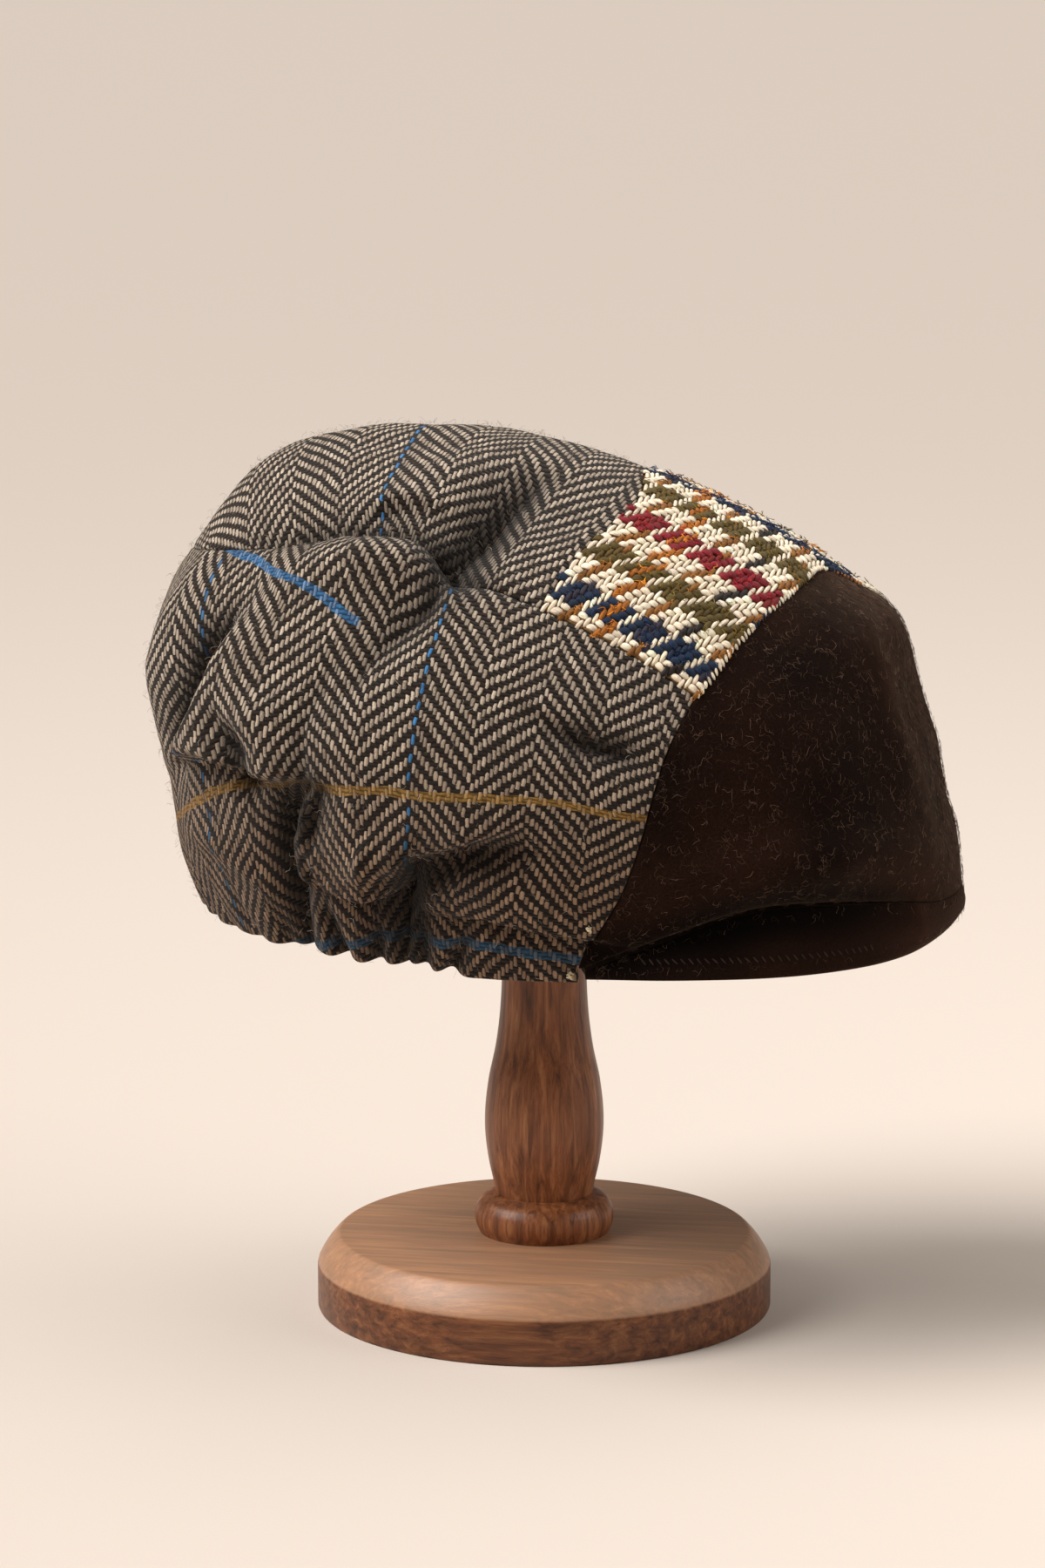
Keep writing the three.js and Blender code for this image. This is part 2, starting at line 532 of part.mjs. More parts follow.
// The hidden head: a domed disc that fills the top of the crown. Its dome stands just clear of the
// cloth above it.
function headBody() {
  const { radius, domeRadius, rimHeight, underRadius, domeSteps, clearance } = head;
  const drop = (r) => domeRadius - Math.sqrt(domeRadius ** 2 - r ** 2);
  let topZ = Infinity;
  for (let share = 0; share <= 0.6; share += 0.02) {
    for (let angle = 0; angle < 360; angle += 4) {
      const inside = clothPoint(onDisc([angle, share]), -cloth.patchWall);
      const away = Math.hypot(inside.x, inside.y);
      if (away < radius) topZ = Math.min(topZ, inside.z + drop(away) - clearance);
    }
  }
  const rimZ = topZ - drop(radius);
  const rows = [[0, column.topZ], [underRadius, column.topZ], [radius, rimZ - rimHeight]];
  for (let i = domeSteps; i >= 0; i -= 1) {
    const r = radius * (i / domeSteps);
    rows.push([r, topZ - drop(r)]);
  }
  return turned(rows, 32);
}

// ---------------------------------------------------------------- materials and assembly

const looks = {
  tweed: new THREE.MeshStandardMaterial({ color: 0x7d7060, roughness: 0.95, metalness: 0 }),
  check: new THREE.MeshStandardMaterial({ color: 0xc9b998, roughness: 0.9, metalness: 0 }),
  felt: new THREE.MeshStandardMaterial({ color: 0x33241c, roughness: 1, metalness: 0 }),
  wood: new THREE.MeshStandardMaterial({ color: 0x7a4526, roughness: 0.45, metalness: 0 }),
};

const cap = new THREE.Group();
const stand = new THREE.Group();

function addPiece(group, name, geometry, material) {
  const mesh = new THREE.Mesh(geometry, material);
  mesh.name = name;
  group.add(mesh);
}

addPiece(cap, 'crown_side_right', sideRight(), looks.tweed);
addPiece(cap, 'crown_side_left', sideLeft(), looks.tweed);
addPiece(cap, 'crown_top', topPanel(), looks.tweed);
addPiece(cap, 'crown_patch', patchPanel(), looks.check);
addPiece(cap, 'crown_front', frontPanel(), looks.felt);
addPiece(cap, 'peak', peakBody(), looks.felt);
addPiece(stand, 'stand_foot', footBody(), looks.wood);
addPiece(stand, 'stand_column', columnBody(), looks.wood);
addPiece(stand, 'stand_head', headBody(), looks.wood);

const capOnStand = new THREE.Group();
capOnStand.add(stand, cap);

export default capOnStand;
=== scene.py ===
import bpy
import math
import numpy as np
from functools import partial
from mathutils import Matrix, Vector, noise


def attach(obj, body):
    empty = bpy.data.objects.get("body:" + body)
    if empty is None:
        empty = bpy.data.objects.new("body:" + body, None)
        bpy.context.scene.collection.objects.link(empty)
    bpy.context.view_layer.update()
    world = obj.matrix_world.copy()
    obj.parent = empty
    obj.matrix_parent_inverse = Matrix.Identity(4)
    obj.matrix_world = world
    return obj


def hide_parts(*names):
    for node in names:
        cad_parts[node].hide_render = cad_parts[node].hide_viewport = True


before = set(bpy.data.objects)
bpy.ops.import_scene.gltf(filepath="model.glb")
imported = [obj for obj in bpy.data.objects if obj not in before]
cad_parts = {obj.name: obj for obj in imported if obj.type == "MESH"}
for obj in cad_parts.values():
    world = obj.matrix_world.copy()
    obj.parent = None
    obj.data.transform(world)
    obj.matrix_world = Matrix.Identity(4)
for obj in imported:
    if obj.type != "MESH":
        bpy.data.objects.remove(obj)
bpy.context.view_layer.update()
bpy.ops.object.select_all(action="DESELECT")
mm = 0.001
print("frame loaded")


def hexColour(text):
    channels = [int(text[i:i + 2], 16) / 255 for i in (1, 3, 5)]
    linear = [c / 12.92 if c <= 0.04045 else ((c + 0.055) / 1.055) ** 2.4 for c in channels]
    return (*linear, 1.0)


def fillInputs(node, inputs):
    # a node feeds an input from its first output in use, and a hex colour is turned to linear
    for key, value in inputs.items():
        if isinstance(value, bpy.types.Node):
            value = next(output for output in value.outputs if output.enabled)
        if isinstance(value, bpy.types.NodeSocket):
            node.id_data.links.new(value, node.inputs[key])
        else:
            node.inputs[key].default_value = hexColour(value) if isinstance(value, str) else value


def addNode(tree, kind, inputs=None, **settings):
    node = tree.nodes.new("ShaderNode" + kind)
    for key, value in settings.items():
        setattr(node, key, value)
    fillInputs(node, inputs or {})
    return node


def newMaterial(name):
    material = bpy.data.materials.new(name)
    material.use_nodes = True
    tree = material.node_tree
    return material, partial(addNode, tree), tree.nodes["Principled BSDF"]


def colourRows(hexes):
    return np.array([hexColour(text)[:3] for text in hexes])


def runLengths(points):
    return np.concatenate([[0], np.cumsum(np.linalg.norm(np.diff(points, axis=0), axis=1))])


def unit(vectors):
    return vectors / np.linalg.norm(vectors, axis=-1, keepdims=True)


def hermite(t, span, start, end, slopeStart, slopeEnd):
    return ((2 * t**3 - 3 * t**2 + 1) * start + (t**3 - 2 * t**2 + t) * span * slopeStart
            + (3 * t**2 - 2 * t**3) * end + (t**3 - t**2) * span * slopeEnd)


def newPiece(name, material, node):
    piece = bpy.context.object
    piece.name = name
    piece.data.name = name
    piece.data.materials.clear()
    piece.data.materials.append(material)
    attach(piece, "root")
    if node:
        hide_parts(node)
    return piece


# camera, light and floor; the turn and the look down are in degrees, the distances in metres
view = {"turn": 10.0, "away": 1.54983, "height": 0.448685, "down": 10.0356,
        "lens": 110.92, "shift": -0.01389, "sensor": 36}


def addCamera():
    turn = math.radians(view["turn"])
    place = (math.sin(turn) * view["away"], -math.cos(turn) * view["away"], view["height"])
    bpy.ops.object.camera_add(location=place, rotation=(math.radians(90 - view["down"]), 0, turn))
    camera = bpy.context.object
    camera.data.sensor_width = view["sensor"]
    camera.data.lens = view["lens"]
    camera.data.shift_x = view["shift"]
    bpy.context.scene.camera = camera


studio = {
    "paper": "#CFC4BA", "paperSize": 80,
    "world": "#F0E4D8", "worldStrength": 0.2, "beyond": "#DCCDBE",
    "sunFrom": (-0.95, -0.42, 1.15), "sunPower": 4.2, "sunSpread": 40,
    "rightPlace": (1.3, -0.1, 0.9), "rightSize": 0.9, "rightPower": 8.0,
    "topPlace": (0.1, 0.35, 1.6), "topSize": 1.2, "topPower": 8.0,
    "lamp": (1.0, 0.97, 0.94),
}


def addSoftLight(kind, place, power, target=(0, 0, 0.2)):
    turn = (Vector(target) - Vector(place)).to_track_quat("-Z", "Y").to_euler()
    bpy.ops.object.light_add(type=kind, location=place, rotation=turn)
    light = bpy.context.object.data
    light.energy = power
    light.color = studio["lamp"]
    return light


def paperMaterial():
    # uncoated paper: pale and matt, its tooth drawn coarse, at about 1 mm
    material, add, shader = newMaterial("Backdrop paper, matt")
    tooth = add("TexNoise", {"Vector": add("TexCoord").outputs["Object"], "Scale": 900.0})
    bump = add("Bump", {"Height": tooth, "Strength": 0.12, "Distance": 0.0004})
    fillInputs(shader, {"Base Color": studio["paper"], "Roughness": 0.92, "Normal": bump})
    return material


def addStudio():
    world = bpy.data.worlds.new("Studio")
    bpy.context.scene.world = world
    world.use_nodes = True
    tree = world.node_tree
    background = tree.nodes["Background"]
    fillInputs(background, {"Color": studio["world"], "Strength": studio["worldStrength"]})
    # past the paper's far edge the camera sees a pale tone too
    seen = addNode(tree, "Background", {"Color": studio["beyond"]})
    ray = addNode(tree, "LightPath")
    either = addNode(tree, "MixShader", {0: ray.outputs["Is Camera Ray"], 1: background, 2: seen})
    fillInputs(tree.nodes["World Output"], {"Surface": either})
    sun = addSoftLight("SUN", studio["sunFrom"], studio["sunPower"], (0, 0, 0))
    sun.angle = math.radians(studio["sunSpread"])
    for lamp in ("right", "top"):
        addSoftLight("AREA", studio[lamp + "Place"], studio[lamp + "Power"]).size = studio[lamp + "Size"]
    bpy.ops.mesh.primitive_plane_add(size=studio["paperSize"])
    floor = bpy.context.object
    floor.name = "paper_floor"
    floor.data.materials.append(paperMaterial())
    bpy.context.scene.view_settings.view_transform = "Standard"


addCamera()
addStudio()
print("camera, lights and floor")


# crown surface: an angle round the head (0 front, 90 wearer's right, 180 back) and a share down it,
# 0 at the top and 1 at the lower edge. Its sizes are in mm.
columns = ["share", "frontX", "frontZ", "backX", "backZ", "sideY", "sideZ", "round"]
crownSections = np.array([
    (0.0, -40, 291.2, -40, 291.2, 0, 291, 0),
    (0.15, 10, 284.6, -70, 288, 34, 285, 0),
    (0.3, 52, 269.6, -92, 279, 64, 268.5, 0),
    (0.45, 90, 249, -111, 257, 88, 244, 0.01),
    (0.6, 115, 225.5, -125, 230, 103, 216, 0.02),
    (0.72, 124, 200, -125.5, 205, 107, 192, 0.03),
    (0.84, 130.5, 170, -122, 178, 102, 165, 0.03),
    (0.93, 134.5, 150, -119, 154, 94, 143, 0.03),
    (1.0, 132.5, 138, -113, 137, 87, 127, 0.03),
], float)
crownMiddle = {"topX": -40, "edgeX": 10}


def sectionColumn(key, share):
    shares = crownSections[:, 0]
    values = crownSections[:, columns.index(key)]
    steps = np.diff(shares)
    slopes = np.diff(values) / steps
    tangents = np.empty(len(shares))
    tangents[1:-1] = (slopes[:-1] * steps[1:] + slopes[1:] * steps[:-1]) / (steps[1:] + steps[:-1])
    tangents[0] = 0 if key in ("frontZ", "backZ", "sideZ") else slopes[0]
    tangents[-1] = slopes[-1]
    i = np.clip(np.searchsorted(shares, share, side="right") - 1, 0, len(shares) - 2)
    t = (share - shares[i]) / steps[i]
    return hermite(t, steps[i], values[i], values[i + 1], tangents[i], tangents[i + 1])


def crownPoints(angle, share):
    angle, share = np.broadcast_arrays(np.asarray(angle, float), np.asarray(share, float))
    c, s = np.cos(np.radians(angle)), np.sin(np.radians(angle))
    middle = crownMiddle["topX"] + (crownMiddle["edgeX"] - crownMiddle["topX"]) * share
    forwards = sectionColumn("frontX", share) - middle
    backwards = middle - sectionColumn("backX", share)
    swell = 1 + sectionColumn("round", share) * (2 * s * c) ** 2
    endZ = np.where(c > 0, sectionColumn("frontZ", share), sectionColumn("backZ", share))
    x = middle + np.where(c > 0, forwards, backwards) * c * swell
    y = -sectionColumn("sideY", share) * s * swell
    z = sectionColumn("sideZ", share) * s * s + endZ * c * c
    return np.stack([x, y, z], -1)


def onDisc(angle, share):
    turn = np.radians(angle)
    return np.stack([share * np.cos(turn), share * np.sin(turn)], -1)


def fromDisc(spots):
    angle = np.degrees(np.arctan2(spots[..., 1], spots[..., 0]))
    return angle, np.minimum(np.hypot(spots[..., 0], spots[..., 1]), 1)


def crownNormals(spots):
    step = 0.004
    size = np.maximum(np.hypot(spots[..., 0], spots[..., 1]), 1e-6)
    inner = spots * np.minimum(1, (1 - step) / size)[..., None]
    along = crownPoints(*fromDisc(inner + [step, 0])) - crownPoints(*fromDisc(inner - [step, 0]))
    across = crownPoints(*fromDisc(inner + [0, step])) - crownPoints(*fromDisc(inner - [0, step]))
    return unit(np.cross(across, along))


# folds: each row is kind, path of (angle, share), lift at its start, middle and end, width, twin. A roll is
# rounded across, a crease is sharp, and a shelf stands out on the left of its path and goes in on the right.
# The twin is how much of the lift is repeated on the wearer's left.
folds = [
    ("shelf", [(129, 0.5), (133.5, 0.58), (137, 0.66), (144, 0.74)], (1, 6, 4), 10, 0.8),  # rear crease
    ("crease", [(133, 0.5), (139, 0.58), (142, 0.655), (149, 0.745)], (-2, -12, -8), 4.5, 0.8),
    ("roll", [(131.5, 0.69), (128, 0.722), (129.5, 0.765)], (-4, -8, -5), 5.5, 0.8),  # a dent in the bulge
    ("roll", [(150, 0.55), (156, 0.66), (162, 0.72)], (3, 4, 2), 15, 0.8),  # rear lobe
    ("roll", [(126, 0.55), (125, 0.63), (121, 0.7)], (2, 5, 3), 13, 0.8),  # upper bulge
    ("shelf", [(152, 0.79), (137, 0.745), (128, 0.755), (117, 0.742)], (2, 8, 4), 11, 0.8),
    # middle valley
    ("crease", [(107, 0.5), (112, 0.595), (115.5, 0.665), (116, 0.73)], (-0.5, -2, -4), 7, 0.8),
    ("roll", [(149, 0.87), (137, 0.878), (127, 0.917)], (1, 2.5, 1), 5, 0.8),  # rear slope
    # main groove
    ("crease", [(116, 0.745), (120, 0.79), (123.5, 0.84), (123.5, 0.9), (126, 1)], (-4, -16, -6), 4.5, 0.8),
    # its narrow lip
    ("roll", [(114.5, 0.74), (118, 0.787), (120.7, 0.84), (121, 0.878)], (3, 8, 5), 4.5, 0.8),
    ("crease", [(113.5, 0.745), (116, 0.79), (118.7, 0.85)], (-2, -4, -1), 2.5, 0.8),
    ("roll", [(111, 0.78), (110, 0.83), (106, 0.835)], (3, 8, 4), 12, 0.8),  # swag
    ("shelf", [(118.7, 0.86), (117.5, 0.888), (114, 0.897), (110, 0.896), (105.5, 0.886), (103, 0.85)],
     (3, 7, 5), 7, 0.8),
    # middle groove
    ("crease", [(102, 0.83), (103.5, 0.865), (106, 0.91), (109, 1)], (-4, -12, -6), 4.5, 0.8),
    ("shelf", [(103, 0.84), (98, 0.822), (92, 0.803), (84, 0.778)], (4, 7, 1), 10.5, 0.7),  # rising fold
    ("crease", [(78, 0.828), (85, 0.815), (92, 0.83), (99, 0.861)], (-1, -4, -4), 6, 0.7),
    ("roll", [(99, 0.875), (93, 0.865), (84, 0.885)], (4, 5, 3), 7, 0.7),  # lower swag
    ("shelf", [(101, 0.91), (95, 0.905), (88, 0.915), (79.5, 0.932)], (2, 5, 3), 6, 0.7),
    ("crease", [(152, 0.445), (127, 0.375), (112, 0.338), (96, 0.33), (91, 0.345), (88.5, 0.362)],
     (-0.5, -5, -4), 5, 0.8),  # the dip along the ridge seam
    ("crease", [(88.5, 0.362), (84, 0.39), (76, 0.432)], (-2, -2.5, -1.5), 3, 0.8),
    ("roll", [(122, 0.42), (106, 0.39), (94, 0.385), (88, 0.42)], (3, 8, 4), 10, 0.8),  # ridge puff
    ("shelf", [(85.5, 0.47), (86.5, 0.42), (89, 0.375)], (1, 4, 3), 6, 0.8),
    ("shelf", [(110, 0.339), (107.5, 0.307), (100, 0.28), (90.5, 0.28)], (1, 4, 2), 8, 0.8),  # top step
    # slanting valley
    ("roll", [(50, 0.2), (69, 0.265), (80, 0.34), (90, 0.42), (100, 0.51)], (-2, -7, -2), 10, 0.8),
    ("crease", [(50, 0.2), (68, 0.257), (84.5, 0.352), (90.5, 0.43), (96.5, 0.475), (101, 0.515),
                (108, 0.6)], (-3, -6.5, -1.5), 4.5, 0.8),
    ("roll", [(60, 0.12), (87.5, 0.236), (103, 0.35)], (1, 3, 1), 14, 0.8),  # the swell behind it
    ("roll", [(44, 0.23), (62, 0.32), (72, 0.4)], (-1, -3, -1), 9, 0.8),  # and the slack before the patch
    # at the felt seam
    ("crease", [(77.5, 0.617), (75, 0.635), (71.5, 0.66), (68, 0.67)], (-1, -7, -6), 4, 0.8),
    ("shelf", [(80, 0.6), (75, 0.635), (71.5, 0.66), (68, 0.67)], (1, 3, 2), 9, 0.8),
    ("roll", [(22, 0.56), (0, 0.57), (-22, 0.58)], (1, 3, 1), 12, 0),  # felt shoulder
    ("roll", [(20, 0.69), (0, 0.68), (-20, 0.69)], (-1, -3, -1), 12, 0),
    ("roll", [(15, 0.56), (19, 0.7), (15, 0.86)], (1, 3, 1), 11, 1),  # felt corner
    ("roll", [(67, 0.86), (50, 0.84), (30, 0.855), (12, 0.89)], (3, 7, 1), 9.5, 1),  # felt overhang
    # the felt runs on into the peak
    ("roll", [(24, 0.965), (0, 0.96), (-24, 0.965)], (0.5, 2.4, 0.5), 8.5, 0),
]
shelfEdge = 0.22  # a shelf's step, as a share of its width
crownCentre = np.array([0, 0, 190.0])
insideCap = np.array([0, 0, 180.0])  # every panel faces away from here

# gathers that the elastic draws in: angle, depth, how far up they run, how far they lean
gathers = [(102, 5, 0.09, -6), (106, 4.5, 0.1, -3), (113.5, 4.5, 0.1, -3), (119, 5, 0.1, 0),
           (129.5, 2, 0.08, -1), (136, 1.5, 0.1, 3), (143.5, 1.2, 0.08, 3), (151, 1.5, 0.12, 2),
           (158, 1.2, 0.1, -1), (165.5, 2, 0.13, 2), (173, 2, 0.1, -2)]
gatherWidth = 3


def splinePath(rows, shares, scale=(1.6, 190)):
    # a smooth run through the rows, by shares of its length; the scale turns angle and share to mm
    rows = np.asarray(rows, float) * scale
    padded = np.vstack([rows[:1], rows, rows[-1:]])

    def at(t):
        place = np.clip(t, 0, 1) * (len(rows) - 1)
        i = np.minimum(place.astype(int), len(rows) - 2)
        w = (place - i)[:, None]
        p0, p1, p2, p3 = (padded[i + k] for k in range(4))
        v0, v1 = (p2 - p0) / 2, (p3 - p1) / 2
        return (2 * p1 - 2 * p2 + v0 + v1) * w**3 + (-3 * p1 + 3 * p2 - 2 * v0 - v1) * w**2 + v0 * w + p1

    fine = at(np.linspace(0, 1, 201))
    lengths = runLengths(fine)
    t = np.interp(np.asarray(shares, float) * lengths[-1], lengths, np.linspace(0, 1, 201))
    return at(t) / scale


def foldSpots(path, lift, scale, side, steps=18):
    t = np.linspace(0, 1, steps + 1)
    places = splinePath(path, t, (1, 1))
    lifts = np.interp(t, [0, 0.5, 1], lift) * scale
    return crownPoints(places[:, 0] * side, np.minimum(places[:, 1], 1)), lifts


allFolds = []
for kind, path, lift, width, twin in folds:
    allFolds.append((*foldSpots(path, lift, 1, 1), width, kind, 1))
    if twin:
        allFolds.append((*foldSpots(path, lift, twin, -1), width, kind, -1))
for angle, depth, rise, lean in gathers:
    path = [(angle, 1), (angle + lean * 0.6, 1 - rise * 0.5), (angle + lean, 1 - rise)]
    for side in (1, -1):
        allFolds.append((*foldSpots(path, (-depth, -depth * 0.8, 0), 1, side), gatherWidth, "roll", side))


def foldLift(points):
    flat = points.reshape(-1, 3)
    total = np.zeros(len(flat))
    hollow = np.zeros(len(flat))
    for spots, lifts, width, kind, side in allFolds:
        reach = width * (3 if kind == "roll" else 6)
        close = np.all((flat > spots.min(0) - reach) & (flat < spots.max(0) + reach), axis=1)
        if not close.any():
            continue
        here = flat[close]
        nearest = np.full(len(here), np.inf)
        lift = np.zeros(len(here))
        offset = np.zeros(len(here))
        for a, b, liftA, liftB in zip(spots[:-1], spots[1:], lifts[:-1], lifts[1:]):
            span = b - a
            t = np.clip((here - a) @ span / (span @ span), 0, 1)
            distance = np.linalg.norm(here - a - t[:, None] * span, axis=1)
            left = np.cross(a - crownCentre, span)
            nearer = distance < nearest
            nearest = np.where(nearer, distance, nearest)
            lift = np.where(nearer, liftA + (liftB - liftA) * t, lift)
            offset = np.where(nearer, (here - a) @ (left / np.linalg.norm(left)) * side, offset)
        away = nearest / width
        shape = np.exp(-away**2) if kind == "roll" else np.exp(-away)
        if kind == "shelf":
            shape = shape * np.tanh(offset / (width * shelfEdge))
        total[close] += lift * shape
        # how deep the place lies in a fold, from which the materials paint shade
        hollow[close] += np.maximum(-lift * shape, 0) * min(max(8 / width, 0.6), 2)
    return total.reshape(points.shape[:-1]), hollow.reshape(points.shape[:-1])


# seams, as rows of (angle, share)
seams = {
    "ridgeRight": [(73, 0.45), (79, 0.415), (85, 0.392), (90, 0.354), (96, 0.335), (112, 0.343),
                   (127, 0.381), (153, 0.45)],
    "backOfTop": [(153, 0.45), (167, 0.475), (180, 0.485), (193, 0.475), (207, 0.45)],
    "topToPatch": [(73, 0.45), (57, 0.35), (14, 0.243), (-14, 0.245), (-57, 0.355), (-73, 0.45)],
    "patchLowerRight": [(55.5, 0.602), (63, 0.522), (73, 0.45)],
    "patchLowerLeft": [(-57, 0.63), (-64, 0.535), (-73, 0.45)],
    "patchToFelt": [(55.5, 0.602), (44, 0.53), (28.5, 0.48), (6, 0.453), (-7, 0.505), (-16, 0.548),
                    (-30, 0.575), (-44, 0.6), (-57, 0.63)],
    "feltRight": [(55.5, 0.602), (61, 0.664), (65.5, 0.74), (69, 0.805), (73.5, 0.874), (79.5, 0.939),
                  (82.2, 0.981)],
    "feltLeft": [(-57, 0.63), (-61.5, 0.68), (-66, 0.745), (-69.5, 0.81), (-74, 0.88), (-79.5, 0.94),
                 (-82.2, 0.981)],
    "feltLowerEdge": [(82.2, 0.981), (73.5, 0.954), (66, 0.931), (56, 0.91), (45, 0.91), (30, 0.928),
                      (14.5, 0.953), (0, 0.956), (-14.5, 0.953), (-30, 0.928), (-45, 0.91), (-56, 0.91),
                      (-66, 0.931), (-73.5, 0.954), (-82.2, 0.981)],
}
seams["ridgeLeft"] = [(-angle, share) for angle, share in seams["ridgeRight"]]


def seamSpots(name, t):
    return onDisc(*splinePath(seams[name], t).T)


def seamRun(name, start=0, end=1):
    return lambda t: seamSpots(name, start + (end - start) * np.asarray(t))


def runsOf(*parts):
    # one edge joined from several runs, each given with the share of the edge where it ends
    def at(t):
        t = np.asarray(t, float)
        out = np.zeros((len(t), 2))
        start = 0.0
        for end, run in parts:
            here = (t >= start) & (t <= end)
            out[here] = run((t[here] - start) / (end - start))
            start = end
        return out
    return at


# where the felt ends and the tweed's hem begins
hemEnds = {"from": 82.5, "span": 97.5, "feltCorner": (82.2, 0.981)}


def hemSpots(side):
    return lambda t: onDisc(side * (hemEnds["from"] + hemEnds["span"] * np.asarray(t)), np.ones(len(t)))


def straight(a, b):
    a, b = onDisc(*a), onDisc(*b)
    return lambda t: a + (b - a) * np.asarray(t)[:, None]


def backSeam(t):
    return onDisc(180.0, 1 - 0.515 * np.asarray(t) ** 1.2)


patchShare, ridgeShare, hemStep = 8 / 38, 28 / 38, 1 / 15  # where the runs of a side panel's edges meet


def sidePanel(side, hand, cells):
    corner, share = hemEnds["feltCorner"]
    return {
        "low": hemSpots(side),
        "high": runsOf((patchShare, seamRun("patchLower" + hand)), (ridgeShare, seamRun("ridge" + hand)),
                       (1, seamRun("backOfTop", *((0, 0.5) if side > 0 else (1, 0.5))))),
        "first": runsOf((hemStep, straight((side * hemEnds["from"], 1), (side * corner, share))),
                        (1, seamRun("felt" + hand, 1, 0))),
        "last": backSeam,
        "cells": cells, "wall": 2.0, "hem": 3.0, "raise": 0.0,
        "roll": {"low": 1.6, "high": 1.1, "first": 0.4, "last": 1.1},
    }


# each panel's four edges, its grid, its wall and hem in mm, and how deep its edges roll under
panels = {
    "crown_side_right": sidePanel(1, "Right", (230, 150)),
    "crown_side_left": sidePanel(-1, "Left", (160, 105)),
    "crown_top": {
        "low": seamRun("ridgeRight"),
        "high": seamRun("ridgeLeft"),
        "first": seamRun("topToPatch"),
        "last": seamRun("backOfTop"),
        "cells": (130, 150), "wall": 2.0, "hem": 2.0, "raise": 0.0,
        "roll": {"low": 1.1, "high": 1.1, "first": 1.0, "last": 1.1},
    },
    "crown_patch": {
        "low": seamRun("patchLowerRight"),
        "high": seamRun("patchLowerLeft"),
        "first": seamRun("patchToFelt"),
        "last": seamRun("topToPatch"),
        "cells": (50, 130), "wall": 1.8, "hem": 1.8, "raise": -0.2,
        "roll": {"low": 0.3, "high": 0.3, "first": 0.3, "last": 0.3},
    },
    "crown_front": {
        "low": seamRun("feltRight"),
        "high": seamRun("feltLeft"),
        "first": seamRun("patchToFelt"),
        "last": seamRun("feltLowerEdge"),
        "cells": (110, 170), "wall": 2.0, "hem": 2.0, "raise": 0.0,
        "roll": {"low": 1.2, "high": 1.2, "first": 1.2, "last": 1.0},
    },
}


def crowdedEnds(cells, fine=(0.002, 0.005, 0.011, 0.02)):
    # grid lines, drawn close together near both ends, where the edges roll
    inner = np.linspace(fine[-1], 1 - fine[-1], cells - 2 * len(fine) + 1)
    return np.concatenate([[0], fine[:-1], inner, 1 - np.array(fine[:-1])[::-1], [1]])


def coonsSpots(panel, u, v):
    low, high, first, last = (panel[k](t) for k, t in zip(("low", "high", "first", "last"), (u, u, v, v)))
    corners = [panel[k](np.array([0.0, 1.0])) for k in ("low", "high")]
    uu, vv = u[None, :, None], v[:, None, None]
    spots = low[None] * (1 - vv) + high[None] * vv + first[:, None] * (1 - uu) + last[:, None] * uu
    spots -= corners[0][0] * (1 - uu) * (1 - vv) + corners[0][1] * uu * (1 - vv)
    spots -= corners[1][0] * (1 - uu) * vv + corners[1][1] * uu * vv
    return spots


peakLean = {"most": 5.0, "from": 24, "over": 56, "roll": 13.0, "shade": 2.3, "shadeReach": 9.0}
clothLook = {"seamGap": 0.2, "softBroad": 17, "softFine": 7, "softLift": 0.5, "hemFrom": 0.93,
             "hemOver": 0.07}


def leanAt(angle):
    # how far the felt turns in over the peak, by angle: none at the very front and at the two ends
    share = np.clip((np.abs(angle) - peakLean["from"]) / peakLean["over"], 0, 1)
    return peakLean["most"] * np.sin(np.pi * share) ** 0.6


def leanShade(angle, past):
    # the shade where the felt turns in, by angle and by how far past the turn a place lies
    return peakLean["shade"] * leanAt(angle) * np.exp(-(past / peakLean["shadeReach"]) ** 2)


def edgeRoll(distance, depth, radius=2.2):
    inside = np.clip(1 - distance / radius, 0, 1)
    return -depth * (1 - np.sqrt(np.maximum(1 - inside**2, 0)))


